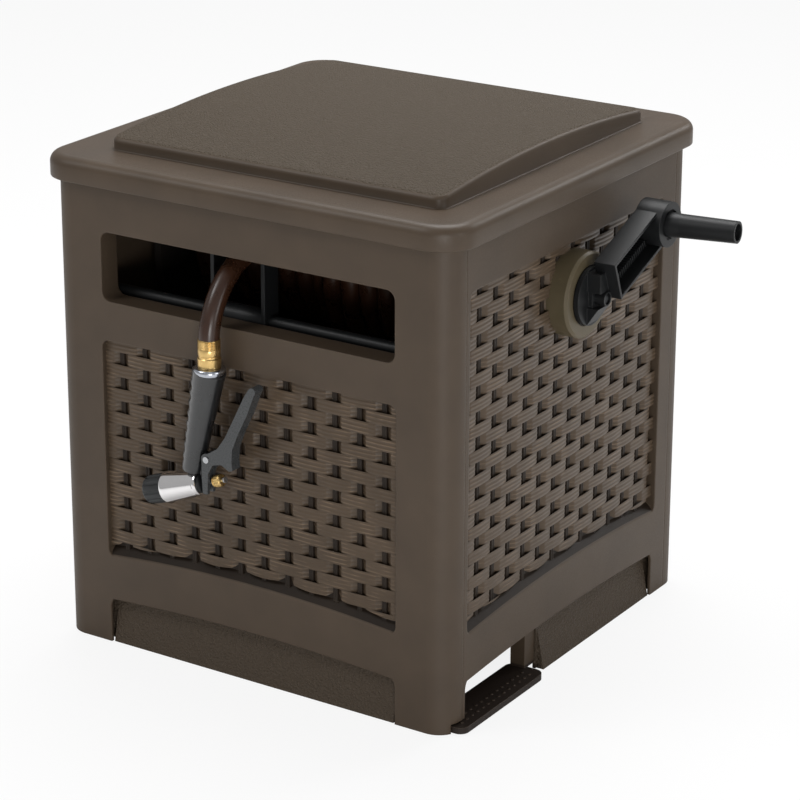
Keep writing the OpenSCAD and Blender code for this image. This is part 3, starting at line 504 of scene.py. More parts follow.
def sharp_edges(obj, angle=35):
    """Drops points that no face uses, turns the faces outwards and keeps edges above the angle sharp."""
    mesh = obj.data
    bm = bmesh.new()
    bm.from_mesh(mesh)
    bmesh.ops.delete(bm, geom=[vert for vert in bm.verts if not vert.link_faces], context="VERTS")
    bmesh.ops.recalc_face_normals(bm, faces=bm.faces)
    for edge in bm.edges:
        if len(edge.link_faces) == 2 and edge.calc_face_angle() > math.radians(angle):
            edge.smooth = False
    bm.to_mesh(mesh)
    bm.free()


def spline(points, steps):
    """Catmull-Rom through the points, as in the part's source."""
    path = []
    last = len(points) - 1
    for i in range(last):
        p0 = points[i - 1] if i else 2 * points[0] - points[1]
        p1, p2 = points[i], points[i + 1]
        p3 = points[i + 2] if i + 2 <= last else 2 * points[last] - points[last - 1]
        for k in range(steps):
            t = k / steps
            path.append(0.5 * (2 * p1 + (p2 - p0) * t + (2 * p0 - 5 * p1 + 4 * p2 - p3) * t * t
                               + (3 * p1 - p0 - 3 * p2 + p3) * t ** 3))
    path.append(points[last])
    return path


# Camera

CAMERA_AT = (1.9216, -2.9246, 1.5677)
CAMERA_AZIMUTH = 33.397
CAMERA_ELEVATION = 18.971
CAMERA_LENS = 132.99
CAMERA_SHIFT = (0.0337, -0.0819)


def make_camera():
    data = bpy.data.cameras.new("camera")
    data.lens = CAMERA_LENS
    data.shift_x, data.shift_y = CAMERA_SHIFT
    camera = bpy.data.objects.new("camera", data)
    camera.location = CAMERA_AT
    camera.rotation_euler = (math.radians(90 - CAMERA_ELEVATION), 0, math.radians(CAMERA_AZIMUTH))
    bpy.context.scene.collection.objects.link(camera)
    bpy.context.scene.camera = camera


# Hose: the winding on the drum and the free end, which leaves it over the guide

WIND_R = 108.95 * MM
WIND_PITCH = 26.5 * MM
WIND_TURNS = 8.5
WIND_X0 = 214.5 * MM
WIND_STEPS = 48
WIND_SIDES = 20
CORE_SINK = 0.2 * MM
CORE_GAP = 0.3 * MM
CORE_STEPS = 40
CORE_SIDES = 14
HOSE_SIDES = 36
HOSE_RIBS = 12
HOSE_RIB = 0.008
ROUTE_STEPS = 6

# The route's points are side shift from the guide, depth behind the front face and height over the axle
WIND_SHIFT = 22.25
TOP_Y = 256
DROP_OUT = 24
DROP_LOW = 30
HOSE_ROUTE = [
    (WIND_SHIFT, TOP_Y - 0.3, 109), (WIND_SHIFT * 0.96, TOP_Y - 25, 108),
    (WIND_SHIFT * 0.72, TOP_Y - 65, 102.5), (WIND_SHIFT * 0.42, TOP_Y - 105, 92.5),
    (WIND_SHIFT * 0.16, TOP_Y - 145, 78.5), (WIND_SHIFT * 0.04, TOP_Y - 175, 66),
    (0, 34, 47.5), (0, 25, 43), (0, 9, 32), (0, -4, 18.5), (0, -14.5, 2), (0, -21, -14),
    (0, -DROP_OUT, -DROP_LOW), (0, -DROP_OUT, -50), (0, -DROP_OUT, -68),
    (-8.3, -DROP_OUT, -108), (-16.6, -DROP_OUT, -147),
]
DROP_END = Vector((GUIDE_X, FRONT_Y - DROP_OUT * MM, AXLE.z - DROP_LOW * MM))


def hose_lines(angle):
    """Fine lengthwise ribs of the hose jacket."""
    return HOSE_RIB * math.cos(HOSE_RIBS * angle)


def coil(radius, x0, pitch, turned, steps, count):
    """Points of a winding round the axle from x0 on: steps to a turn, the first at the angle turned."""
    points = []
    for i in range(count + 1):
        w = turned + 2 * math.pi * i / steps
        x = x0 + pitch * i / steps
        points.append(Vector((x, AXLE.y + radius * math.cos(w), AXLE.z + radius * math.sin(w))))
    return points


def make_hose():
    points = [Vector((GUIDE_X + q[0] * MM, FRONT_Y + q[1] * MM, AXLE.z + q[2] * MM)) for q in HOSE_ROUTE]
    path = spline(points, ROUTE_STEPS)
    free = tube("hose_free", path, HOSE_D / 2, HOSE_SIDES, "hose", hose_lines)
    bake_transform(free)
    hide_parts("hose_lead", "hose_drop")
    length = sum((b - a).length for a, b in zip(path, path[1:]))

    turned = math.radians(90) - 2 * math.pi * WIND_TURNS
    winding = coil(WIND_R, WIND_X0, -WIND_PITCH, turned, WIND_STEPS, round(WIND_TURNS * WIND_STEPS))
    winding.insert(0, winding[0] - Vector((0, HOSE_D, 0)))
    winding.append(winding[-1] - Vector((0, HOSE_D, 0)))
    outer = tube("hose_outer_layer", winding, HOSE_D / 2, WIND_SIDES, "hose")
    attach(outer, "reel")
    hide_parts("hose_winding")

    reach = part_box("hose_core")[1].x - HOSE_D / 2
    pitch = HOSE_D + CORE_GAP
    count = round(2 * reach / pitch * CORE_STEPS)
    core = coil(WIND_R - HOSE_D + CORE_SINK, -reach, pitch, 0.0, CORE_STEPS, count)
    inner = tube("hose_inner_layer", core, HOSE_D / 2, CORE_SIDES, "hose")
    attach(inner, "reel")
    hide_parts("hose_core")
    return free, path, length


# Nozzle, from the frame's own places

# Millimetres, with ribs, fins and knurls as shares of the radius and their heights along the piece's axis
NOZZLE_Y = DROP_END.y
COUPLING_LEN = 35
COLLAR_LEN = 8
GRIP_SINK = 4
GRIP_LEAN = math.radians(12)
GRIP_TOP = Vector((GUIDE_X, NOZZLE_Y, DROP_END.z - (COUPLING_LEN + COLLAR_LEN - GRIP_SINK) * MM))
GRIP_DIR = Vector((-math.sin(GRIP_LEAN), 0, -math.cos(GRIP_LEAN)))
GRIP_LEN = 134
GRIP_R = 20.4
GRIP_TAPER = 7.6
GRIP_BEND = 0.85
GRIP_FLATS = 0.03
FINGER_RIB = 0.07
FINGER_PITCH = 14
FINGERS_FROM = 14
FINGERS_TO = 126
BARREL_X = -47.3
BARREL_LOW = 184.5
BARREL_TILT = math.radians(18.3)
BARREL_AT = Vector((BARREL_X * MM, NOZZLE_Y, DROP_END.z - BARREL_LOW * MM))
BARREL_DIR = Vector((-math.cos(BARREL_TILT), 0, -math.sin(BARREL_TILT)))
CONE_FROM = 6.5
CONE_LEN = 42
CONE_R = 15.3
CONE_GROWS = 4.4
FINS = 10
FIN_DEPTH = 0.09
FIN_STEEP = 2.2
FINS_FROM = 55
FINS_TO = 79
KNURLS = 18
KNURL_DEPTH = 0.035
KNURL_FROM = -31.4
KNURL_TO = -23


def frame_along(at, direction):
    """A matrix whose Z axis runs along direction from at, with its X axis square to the world's Y."""
    z = direction.normalized()
    x = Vector((0, 1, 0)).cross(z).normalized()
    y = z.cross(x)
    return Matrix.Translation(at) @ Matrix((x, y, z)).transposed().to_4x4()


def thread(height0, height1, crest, root, turns):
    """Profile of a thread, with a flat crest and a narrow root to each turn."""
    profile = []
    step = (height1 - height0) / turns
    for i in range(turns):
        h = height0 + i * step
        profile += [(h, root), (h + 0.3 * step, crest), (h + 0.6 * step, crest), (h + 0.9 * step, root)]
    return profile


def grip_form(w, height):
    """Two flats that meet in a ridge along the front, and small ribs for the fingers on the barrel side."""
    ridge = GRIP_FLATS * math.cos(2 * w)
    if not FINGERS_FROM < height < FINGERS_TO:
        return ridge
    side = max(0.0, math.cos(w)) ** 3
    return ridge + FINGER_RIB * math.sin(2 * math.pi * height / FINGER_PITCH) * side


def fins(w, height):
    """Broad fins round the tip, between its two plain bands."""
    if not FINS_FROM < height < FINS_TO:
        return 0.0
    wave = 0.5 + 0.5 * math.cos(FINS * w)
    return -FIN_DEPTH * (1 - min(1.0, wave * FIN_STEEP))


def knurl(w, height):
    """Lengthwise knurls round the head of the flow nut."""
    return KNURL_DEPTH * math.cos(KNURLS * w) if KNURL_FROM < height < KNURL_TO else 0.0


# Turned outlines: height along the axis and radius, in millimetres
COUPLING = [(0.0, 12.6), (0.4, 13.2), (1.2, 13.5)]
COUPLING += thread(2.0, 11.0, 13.5, 12.9, 5)
COUPLING += [
    (11.4, 13.3), (12.0, 13.5), (18.8, 13.5), (19.6, 13.2), (20.2, 12.75), (22.2, 12.75), (22.8, 13.4),
    (23.4, 14.0), (33.8, 14.0), (34.5, 13.7), (35.0, 13.0),
]
COLLAR = [
    (35.0, 11.0), (35.0, 17.0), (35.6, 18.4), (37.0, 19.3), (39.0, 19.5), (41.5, 19.5), (42.6, 19.0),
    (43.0, 18.2), (43.0, 11.0),
]
GRIP = [(0.0, 15.0), (0.6, 19.0), (2.0, 20.1)]
GRIP += [(h, GRIP_R - GRIP_TAPER * (h / GRIP_LEN) ** GRIP_BEND) for h in range(3, GRIP_LEN - 3, 2)]
GRIP += [(GRIP_LEN - 2, 12.7), (GRIP_LEN, 12.3)]
REAR = [
    (-3.0, 0.5), (-3.0, 9.5), (-2.6, 11.2), (-1.8, 12.0), (-0.8, 12.0), (-0.6, 11.2), (0.4, 11.2),
    (0.8, 12.0),
]
SHELL = [
    (0.6, 11.5), (0.2, 13.4), (0.6, 14.4), (1.6, 14.9), (4.0, 15.0), (4.5, 14.5), (5.2, 14.5), (5.7, 15.2),
]
SHELL += [(CONE_FROM + h, CONE_R + CONE_GROWS * h / CONE_LEN) for h in range(0, CONE_LEN + 1, 2)]
SHELL += [(50.5, 19.9), (51.8, 19.8), (52.6, 19.2), (52.9, 18.2), (52.5, 17.0), (50.0, 16.5)]
TIP = [
    (50.0, 16.3), (53.2, 16.6), (54.0, 17.2), (54.9, 17.4), (55.2, 18.0), (60.0, 18.0), (66.0, 17.9),
    (72.0, 17.8), (78.0, 17.5), (79.2, 17.2), (80.6, 16.6), (81.6, 15.4), (81.9, 13.4), (81.0, 12.2),
    (77.0, 6.4), (76.4, 5.2), (74.0, 5.0), (73.8, 0.4),
]
NUT = [
    (-32.0, 2.6), (-32.0, 6.4), (-31.5, 7.2), (-31.0, 7.4), (-26.0, 7.4), (-23.4, 7.4), (-23.0, 6.6),
    (-22.0, 6.6), (-21.6, 7.2), (-20.8, 7.2), (-20.5, 6.6), (-20.5, 2.6),
]


def make_nozzle():
    down = frame_along(DROP_END, Vector((0, 0, -1)))
    brass = lathe("coupling_brass", COUPLING, down, "brass")
    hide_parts("hose_coupling")
    ring = lathe("nozzle_collar_ring", COLLAR, down, "collar")
    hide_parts("nozzle_collar")

    handle = lathe("nozzle_grip", GRIP, frame_along(GRIP_TOP, GRIP_DIR), "grip", 64, grip_form)
    axis = frame_along(BARREL_AT, BARREL_DIR)
    rear_cap = lathe("nozzle_rear", REAR, axis, "black")
    lug = make_lug()
    for piece in (handle, rear_cap, lug):
        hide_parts("nozzle_body")

    chrome = lathe("nozzle_chrome", SHELL, axis, "chrome", 96)
    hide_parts("nozzle_shell")
    nose = lathe("nozzle_bumper", TIP, axis, "tip", 120, fins)
    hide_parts("nozzle_tip")
    flow = lathe("flow_nut_brass", NUT, axis, "brass", 72, knurl)
    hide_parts("flow_nut")
    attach(flow, "flow_nut")

    on_guide = [brass, ring, handle, rear_cap, lug, chrome, nose]
    for piece in on_guide:
        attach(piece, "hose_guide")
    own_nodes = ("nozzle_lever", "lever_pin", "valve_stem", "coupling_washer")
    return on_guide + [flow] + [NODES[name] for name in own_nodes]


# The lug's outline is X and Z from the lever's pin, in millimetres
LEVER_AT = Vector(JOINTS["lever_pull"]["pos_m"])
LUG = [(-12, -30), (-8, -22), (3, -4), (4, 3), (0, 6), (-22, 10)]
LUG_HALF = 2.9
LUG_ROUND = 0.8


def make_lug():
    """The tongue of the nozzle body that carries the lever's pin."""
    verts = []
    for y in (-LUG_HALF, LUG_HALF):
        verts += [LEVER_AT + Vector((x, y, z)) * MM for x, z in LUG]
    lug = new_mesh("nozzle_lug", verts, prism_faces(len(LUG)), "black", False)
    sharp_edges(lug)
    soften(lug, LUG_ROUND * MM)
    return lug


# Woven fields: flat strands run across, over one upright stake and down behind the next

# Millimetres, with depths from the panel's face and places along a strand in stake pitches
STRAND_H = ROW_PITCH
STRAND_CROWN = 0.25
STRAND_RIB = 0.32
STRAND_WAVE = 0.3
WAVE_ALONG = 0.07
WAVE_BY_ROW = 1.9
BULGE_DEPTH = 7.4
BULGE_RISE = 1.0
BULGE_FROM = 0.36
POCKET_DEPTH = 13.3
POCKET_HALF = 0.08
POCKET_CROWN = 0.25
# Strand faces this near a pocket's middle take painted shade
PAINTED_SHADE_BELOW = 0.12
ACROSS = 15
ALONG = (0.0, 0.06, 0.1, 0.14, 0.18, 0.22, 0.26, 0.3, 0.33, 0.36, 0.42, 0.52, 0.64, 0.76, 0.88, 1.0)
STATION_GAP = 0.2
STAKE_HALF = 3.2
STAKE_FRONT = 9.6
STAKE_BACK = 13.6
STAKE_EDGE = 0.5
STAKE_SEAM = 0.7
STAKE_SIDE = [
    (STAKE_EDGE, STAKE_FRONT + 0.1), (STAKE_HALF - STAKE_EDGE, STAKE_FRONT),
    (STAKE_HALF, STAKE_FRONT + STAKE_EDGE), (STAKE_HALF, STAKE_BACK),
]
STAKE = [(-off, depth) for off, depth in reversed(STAKE_SIDE)]
STAKE += [(0.0, STAKE_FRONT + STAKE_SEAM)] + STAKE_SIDE
GROOVE = 8.0
GROOVE_FRONT = 2
GROOVE_BACK = 13.4
GROOVE_LIFT = 0.3
GROOVE_END = 1
GROOVE_STEPS = 48
SILL_Z = 116
SILL_ARCH = 11
SILL_RISE = 10
SILL_WAVE = 0.7
FIELD_DEPTH = 14
FIELD_GAP = 0.5
FIELD_Z0 = 112
WEAVE_SHARP = 50

# A field's ends and top, and one stake's place with the pitch of them all
FRONT_FIELD = (-212, 212, 400)
SIDE_FIELD = (-242, 217, 537)
BACK_FIELD = FRONT_FIELD[:2] + SIDE_FIELD[2:]
FRONT_STAKES = (-189.75, 34.5)
SIDE_STAKES = (-205.0, 35.3)


def strand_section():
    """(height, crown) across a strand, with fine ribs on its face."""
    points = []
    for i in range(ACROSS):
        t = -1 + 2 * i / (ACROSS - 1)
        crown_here = STRAND_CROWN * math.sqrt(max(0.0, 1 - abs(t) ** 3))
        ribs = STRAND_RIB * math.cos(STRAND_RIBS * math.pi * t) * (1 - t ** 4)
        points.append((t * STRAND_H / 2, crown_here + ribs))
    return points


def strand_depth(q):
    """Depth of a strand at q stake pitches from the middle of its nearest pocket."""
    if q > BULGE_FROM:
        return BULGE_DEPTH - BULGE_RISE * math.sin(math.pi / 2 * (q - BULGE_FROM) / (1 - BULGE_FROM))
    t = min(1.0, max(0.0, (q - POCKET_HALF) / (BULGE_FROM - POCKET_HALF)))
    return POCKET_DEPTH + (BULGE_DEPTH - POCKET_DEPTH) * t * t * (3 - 2 * t)


class Field:
    """One woven field. place(u, depth, z) puts a point of a face's own frame into the world."""

    def __init__(self, place, u0, u1, top, column, pitch):
        self.place = place
        self.u0, self.u1 = u0, u1
        self.bottom, self.top = FIELD_Z0 + FIELD_GAP, top - FIELD_GAP
        self.first_row = math.floor((FIELD_Z0 - ROW_Z) / ROW_PITCH)
        self.last_row = math.ceil((top - ROW_Z) / ROW_PITCH)
        self.column, self.pitch = column, pitch
        self.verts = []
        self.faces = []
        self.dark = []
        origin = place(0, 0, 0)
        along, inward, up = (place(*step) - origin for step in ((1, 0, 0), (0, 1, 0), (0, 0, 1)))
        self.flip = along.cross(up).dot(inward) > 0

    def sill(self, u, depth):
        """Height of the arched lower edge of the field, which climbs inwards."""
        half = (self.u1 - self.u0) / 2
        big = (half * half + SILL_ARCH * SILL_ARCH) / (2 * SILL_ARCH)
        reach = big + SILL_RISE * depth / FIELD_DEPTH
        return SILL_Z + SILL_ARCH - big + math.sqrt(reach * reach - (u - (self.u0 + self.u1) / 2) ** 2)

    def stations(self, first):
        """(u, q) along a strand whose pockets are two pitches apart, one of them at first."""
        span = 2 * self.pitch
        places = [self.u0]
        for k in range(math.floor((self.u0 - first) / span) - 1, math.ceil((self.u1 - first) / span) + 2):
            for q in [-v for v in reversed(ALONG)] + list(ALONG[1:-1]):
                u = first + (2 * k + q) * self.pitch
                if self.u0 + STATION_GAP < u < self.u1 - STATION_GAP:
                    places.append(u)
        places.append(self.u1)
        turns = [((u - first) / self.pitch) % 2 for u in places]
        return [(u, min(turn, 2 - turn)) for u, turn in zip(places, turns)]

    def add_strand(self, row, section):
        """One row. It stops at the sill and the field's top, and faces wholly beyond them are left out."""
        stations = self.stations(self.column + (row % 2) * self.pitch)
        start = len(self.verts)
        cut = []
        for u, q in stations:
            depth = strand_depth(q)
            flat = min(1.0, max(POCKET_CROWN, (q - POCKET_HALF) / (BULGE_FROM - POCKET_HALF)))
            middle = ROW_Z + row * ROW_PITCH + STRAND_WAVE * math.sin(WAVE_ALONG * u + WAVE_BY_ROW * row)
            lowest = self.sill(u, depth) + GROOVE + SILL_WAVE * math.cos(math.pi * q)
            for height, rise in section:
                level = min(max(middle + height, lowest), self.top)
                cut.append(level in (lowest, self.top))
                self.verts.append(self.place(u, depth - rise * flat, level))
        # Faces deep in a pocket take the stake material as painted shade
        shades = []
        for (_, q), (_, after) in zip(stations, stations[1:]):
            shades += [max(q, after) < PAINTED_SHADE_BELOW] * (ACROSS - 1)
        for face, in_painted_shade in zip(grid_faces(len(stations), ACROSS, False, start, self.flip), shades):
            if not all(cut[v - start] for v in face):
                self.faces.append(face)
                self.dark.append(in_painted_shade)

    def add_stakes(self):
        first = math.ceil((self.u0 - self.column) / self.pitch)
        last = math.floor((self.u1 - self.column) / self.pitch)
        for k in range(first, last + 1):
            u = self.column + k * self.pitch
            start = len(self.verts)
            for z in (self.bottom, self.top):
                self.verts += [self.place(u + off, depth, z) for off, depth in STAKE]
            self.faces += grid_faces(2, len(STAKE), False, start, not self.flip)
            # The stakes take painted shade
            self.dark += [True] * (len(STAKE) - 1)

    def add_groove(self):
        """A sheet in painted shade, put in the groove between the sill and the lowest strands."""
        start = len(self.verts)
        for k in range(GROOVE_STEPS + 1):
            u = self.u0 + GROOVE_END + (self.u1 - self.u0 - 2 * GROOVE_END) * k / GROOVE_STEPS
            outer = self.sill(u, GROOVE_FRONT) + GROOVE_LIFT
            inner = self.sill(u, GROOVE_BACK) + GROOVE_LIFT
            self.verts.append(self.place(u, GROOVE_FRONT, outer))
            self.verts.append(self.place(u, GROOVE_BACK, inner))
            self.verts.append(self.place(u, GROOVE_BACK, inner + 2 * GROOVE))
        self.faces += grid_faces(GROOVE_STEPS + 1, 3, False, start, self.flip)
        self.dark += [True] * (2 * GROOVE_STEPS)

    def build(self, name):
        section = strand_section()
        for row in range(self.first_row, self.last_row + 1):
            self.add_strand(row, section)
        self.add_stakes()
        self.add_groove()
        obj = new_mesh(name, self.verts, self.faces, "weave")
        # The second material, the stake one, is painted shade
        obj.data.materials.append(MAT["stake"])
        for polygon, in_painted_shade in zip(obj.data.polygons, self.dark):
            polygon.material_index = int(in_painted_shade)
        sharp_edges(obj, WEAVE_SHARP)
        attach(obj, "box")


def make_weaves():
    half_w = SIDE_X / MM
    half_d = HALF_D / MM
    fields = {
        "weave_front": (lambda u, d, z: Vector((u, d - half_d, z)) * MM, FRONT_FIELD, FRONT_STAKES),
        "weave_right": (lambda u, d, z: Vector((half_w - d, u, z)) * MM, SIDE_FIELD, SIDE_STAKES),
        "weave_left": (lambda u, d, z: Vector((d - half_w, u, z)) * MM, SIDE_FIELD, SIDE_STAKES),
        "weave_back": (lambda u, d, z: Vector((u, half_d - d, z)) * MM, BACK_FIELD, FRONT_STAKES),
    }
    for name, (place, size, stakes) in fields.items():
        Field(place, *size, *stakes).build(name)


# Lid: one shell lofted through rounded rectangles, in millimetres

LID_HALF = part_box("lid")[1].x / MM
LID_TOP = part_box("lid")[1].z / MM
LID_CORNER = 46
LID_LOW = 595
LID_SEAT = WALL_TOP / MM
LID_WALL = 4
LID_SHARP = 60
RIM_TOP = 624
RIM_ROUND = 12
RIM_STEPS = 8
VALLEY = 621.5
PANEL = (-237, 237, -228, 247)
PANEL_MID_Y = (PANEL[2] + PANEL[3]) / 2
PANEL_CORNER = 15
PANEL_EDGE = 637
PANEL_ROUND = 6.5
PANEL_STEPS = 6
# The leather starts this many loops before the end of the panel's rounded edge
LEATHER_LOOPS = 3
LEAST_CORNER = 0.5
PER_SIDE = 26
PER_CORNER = 12
HOLLOW_SCALES = (0.03, 0.15, 0.3, 0.45, 0.6, 0.72, 0.84, 0.94, 1.0)
TOP_SCALES = (0.985, 0.95, 0.9, 0.82, 0.72, 0.6, 0.45, 0.3, 0.15, 0.03)


def outline(x0, x1, y0, y1, r):
    """Points round a rounded rectangle, the same number for every size."""
    r = max(r, LEAST_CORNER)
    points = []
    corners = [(x1 - r, y0 + r, -90), (x1 - r, y1 - r, 0), (x0 + r, y1 - r, 90), (x0 + r, y0 + r, 180)]
    for index, (cx, cy, start) in enumerate(corners):
        for k in range(PER_CORNER + 1):
            w = math.radians(start + 90 * k / PER_CORNER)
            points.append((cx + r * math.cos(w), cy + r * math.sin(w)))
        nx, ny, nstart = corners[(index + 1) % 4]
        w = math.radians(nstart)
        target = (nx + r * math.cos(w), ny + r * math.sin(w))
        here = points[-1]
        for k in range(1, PER_SIDE):
            f = k / PER_SIDE
            points.append((here[0] + (target[0] - here[0]) * f, here[1] + (target[1] - here[1]) * f))
    return points


def crown(y):
    """Height of the raised panel's top at y."""
    half = (PANEL[3] - PANEL[2]) / 2
    rise = LID_TOP - PANEL_EDGE
    big = (half * half + rise * rise) / (2 * rise)
    return LID_TOP - big + math.sqrt(big * big - (y - PANEL_MID_Y) ** 2)


def below_crown(drop):
    return lambda y: crown(y) - drop


def level_at(z):
    return lambda y: z


def lid_loop(inset, z):
    """The lid's outline drawn in by inset."""
    e = LID_HALF - inset
    return [(x, y, z) for x, y in outline(-e, e, -e, e, LID_CORNER - inset)]


def panel_loop(inset, height):
    """The raised panel's outline drawn in by inset, at a height that depends on y."""
    x0, x1, y0, y1 = PANEL
    ring = outline(x0 + inset, x1 - inset, y0 + inset, y1 - inset, PANEL_CORNER - inset)
    return [(x, y, height(y)) for x, y in ring]


def shrunk(loop, scale, height):
    """A loop made smaller about the panel's middle."""
    points = [(x * scale, PANEL_MID_Y + (y - PANEL_MID_Y) * scale) for x, y, _ in loop]
    return [(x, y, height(y)) for x, y in points]


def lid_underside():
    """Loops from the middle of the hollow out to the inner edge of the skirt."""
    ceiling = below_crown(LID_WALL)
    hollow = panel_loop(LID_WALL + 1, ceiling)
    loops = [shrunk(hollow, scale, ceiling) for scale in HOLLOW_SCALES]
    return loops + [
        panel_loop(LID_WALL, below_crown(LID_WALL + 1)),
        panel_loop(LID_WALL, level_at(LID_SEAT + 1)),
        panel_loop(LID_WALL - 1, level_at(LID_SEAT)),
        lid_loop(LID_WALL + 2, LID_SEAT),
        lid_loop(LID_WALL, LID_SEAT - 2),
        lid_loop(LID_WALL, LID_LOW + 1),
        lid_loop(LID_WALL - 0.7, LID_LOW + 0.1),
    ]


def lid_outside():
    """Loops up the skirt, over the rounded rim, through the valley and up the raised panel's side."""
    loops = [
        lid_loop(1.0, LID_LOW),
        lid_loop(0.25, LID_LOW + 0.4),
        lid_loop(0.0, LID_LOW + 1.4),
        lid_loop(0.0, RIM_TOP - RIM_ROUND),
    ]
    for k in range(1, RIM_STEPS + 1):
        w = math.radians(90 * k / RIM_STEPS)
        loops.append(lid_loop(RIM_ROUND * (1 - math.cos(w)), RIM_TOP - RIM_ROUND * (1 - math.sin(w))))
    return loops + [
        lid_loop(RIM_ROUND + 3, RIM_TOP - 0.25),
        lid_loop(RIM_ROUND + 8, RIM_TOP - 1.2),
        panel_loop(-5.0, level_at(VALLEY + 0.7)),
        panel_loop(-2.5, level_at(VALLEY)),
        panel_loop(-0.8, level_at(VALLEY + 0.3)),
        panel_loop(0.0, level_at(VALLEY + 1.4)),
        panel_loop(0.0, below_crown(PANEL_ROUND)),
    ]


def lid_panel():
    """Loops over the raised panel's rounded edge to the middle of its top."""
    loops = []
    for k in range(1, PANEL_STEPS + 1):
        w = math.radians(90 * k / PANEL_STEPS)
        drop = PANEL_ROUND * (1 - math.sin(w))
        loops.append(panel_loop(PANEL_ROUND * (1 - math.cos(w)), below_crown(drop)))
    edge = loops[-1]
    return loops + [shrunk(edge, scale, crown) for scale in TOP_SCALES]


def make_lid():
    loops = lid_underside() + lid_outside()
    leather_from = len(loops) + PANEL_STEPS - LEATHER_LOOPS
    loops += lid_panel()
    ring = len(loops[0])
    verts = [Vector(p) * MM for loop in loops for p in loop]
    shell_end = len(verts)
    faces = grid_faces(len(loops), ring, True, 0, True)
    faces.append(tuple(range(ring)))
    faces.append(tuple(range(shell_end - 1, shell_end - 1 - ring, -1)))
    add_knuckles(verts, faces)
    obj = new_mesh("lid_shell", verts, faces, "lid_rim")
    obj.data.materials.append(MAT["lid_top"])
    for polygon in obj.data.polygons:
        if all(leather_from * ring <= v < shell_end for v in polygon.vertices):
            polygon.material_index = 1
    sharp_edges(obj, LID_SHARP)
    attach(obj, "lid")
    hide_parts("lid")


KNUCKLE_X = (-150, 150)
KNUCKLE_LEN = 29
KNUCKLE_R = 6
KNUCKLE_TOP = 599
KNUCKLE_STEPS = 24
WEB_RISE = 2
WEB_INSIDE = 4
WEB_GAP = 0.2


def add_knuckles(verts, faces):
    """The lid's own hinge knuckles: a round barrel with a web up to the skirt, as one swept outline."""
    hy = HINGE.y / MM
    hz = HINGE.z / MM
    section = []
    for k in range(KNUCKLE_STEPS + 1):
        w = math.radians(-180 * k / KNUCKLE_STEPS)
        section.append((hy + KNUCKLE_R * math.cos(w), hz + KNUCKLE_R * math.sin(w)))
    section += [
        (hy - KNUCKLE_R, hz + WEB_RISE),
        (LID_HALF - WEB_INSIDE, KNUCKLE_TOP - WEB_INSIDE),
        (LID_HALF - WEB_INSIDE, KNUCKLE_TOP),
        (LID_HALF - WEB_GAP, KNUCKLE_TOP),
    ]
    for x in KNUCKLE_X:
        start = len(verts)
        for side in (-1, 1):
            verts += [Vector((x + side * KNUCKLE_LEN / 2, y, z)) * MM for y, z in section]
        faces += prism_faces(len(section), start)


# Stage

FLOOR_SIZE = 12.0
FLOOR_DROP = 0.5 * MM
FLOOR_WHITE = srgb(246, 246, 246)
FLOOR_ROUGH = 0.9
FLOOR_GLOW = 0.86
WORLD_LIGHT = 0.4


def white_to_eye(tree, shader, share):
    """Mixes a share of plain white into what camera rays see, and leaves all other rays the shader."""
    path = tree.nodes.new("ShaderNodeLightPath")
    glow = tree.nodes.new("ShaderNodeEmission")
    mix = tree.nodes.new("ShaderNodeMixShader")
    part = tree.nodes.new("ShaderNodeMath")
    part.operation = "MULTIPLY"
    part.inputs[1].default_value = share
    tree.links.new(path.outputs["Is Camera Ray"], part.inputs[0])
    tree.links.new(part.outputs["Value"], mix.inputs["Fac"])
    tree.links.new(shader, mix.inputs[1])
    tree.links.new(glow.outputs["Emission"], mix.inputs[2])
    return mix.outputs["Shader"]


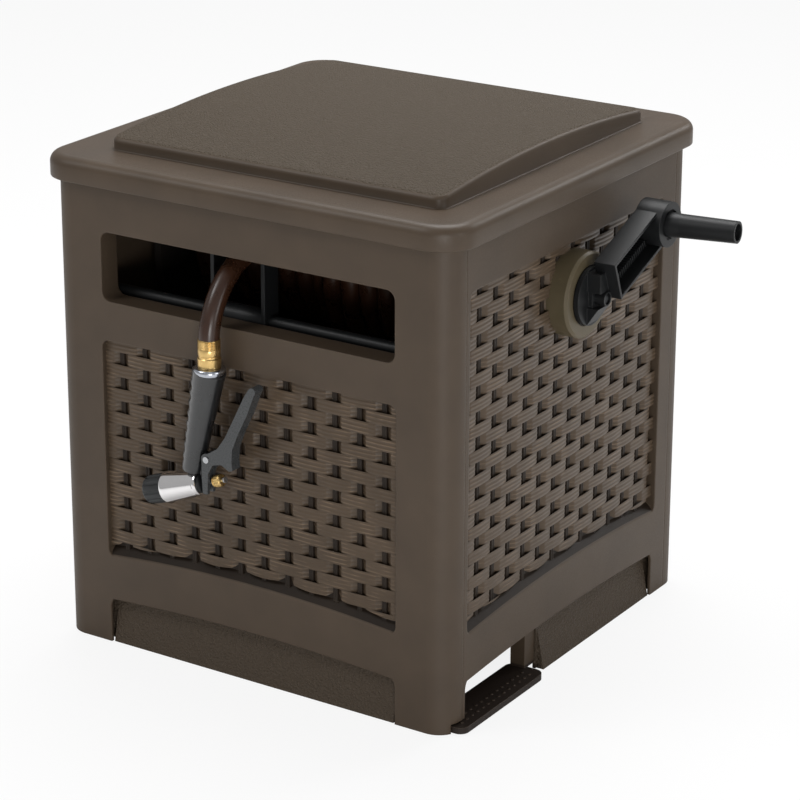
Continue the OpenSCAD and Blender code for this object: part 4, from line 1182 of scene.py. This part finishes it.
def make_floor():
    mesh = bpy.data.meshes.new("floor")
    s = FLOOR_SIZE
    mesh.from_pydata([(-s, -s, 0), (s, -s, 0), (s, s, 0), (-s, s, 0)], [], [(0, 1, 2, 3)])
    material = bpy.data.materials.new("floor_white")
    material.use_nodes = True
    tree = material.node_tree
    shader = tree.nodes["Principled BSDF"]
    shader.inputs["Base Color"].default_value = FLOOR_WHITE
    shader.inputs["Roughness"].default_value = FLOOR_ROUGH
    seen = white_to_eye(tree, shader.outputs["BSDF"], FLOOR_GLOW)
    tree.links.new(seen, tree.nodes["Material Output"].inputs["Surface"])
    mesh.materials.append(material)
    floor = bpy.data.objects.new("floor", mesh)
    floor.location.z = -FLOOR_DROP
    bpy.context.scene.collection.objects.link(floor)


def make_world():
    world = bpy.data.worlds.new("studio")
    world.use_nodes = True
    tree = world.node_tree
    background = tree.nodes["Background"]
    background.inputs["Color"].default_value = (1, 1, 1, 1)
    background.inputs["Strength"].default_value = WORLD_LIGHT
    seen = white_to_eye(tree, background.outputs["Background"], 1.0)
    tree.links.new(seen, tree.nodes["World Output"].inputs["Surface"])
    bpy.context.scene.world = world
    bpy.context.scene.view_settings.view_transform = "Standard"


# Lamps: place and size in metres, power in watts
LAMP_TARGET = Vector((0, 0, 0.35))
LAMPS = {
    "key": ((-1.6, -2.0, 3.0), 1.6, 31.0),
    "front": ((2.3, -2.9, 0.42), 0.8, 32.0),
    "fill": ((3.5, -0.6, 1.1), 1.2, 13.0),
    "top": ((-0.3, 0.9, 3.1), 2.2, 76.0),
    "rim": ((1.3, 3.2, 2.3), 1.2, 24.0),
}


def make_lamps():
    for name, (at, size, power) in LAMPS.items():
        data = bpy.data.lights.new(name, "AREA")
        data.shape = "DISK"
        data.size = size
        data.energy = power
        lamp = bpy.data.objects.new(name, data)
        lamp.location = at
        lamp.rotation_euler = (LAMP_TARGET - Vector(at)).to_track_quat("-Z", "Y").to_euler()
        bpy.context.scene.collection.objects.link(lamp)


make_camera()
hose, hose_path, hose_length = make_hose()
dress_nodes()
nozzle_pieces = make_nozzle()
make_weaves()
make_lid()
make_floor()
make_world()
make_lamps()
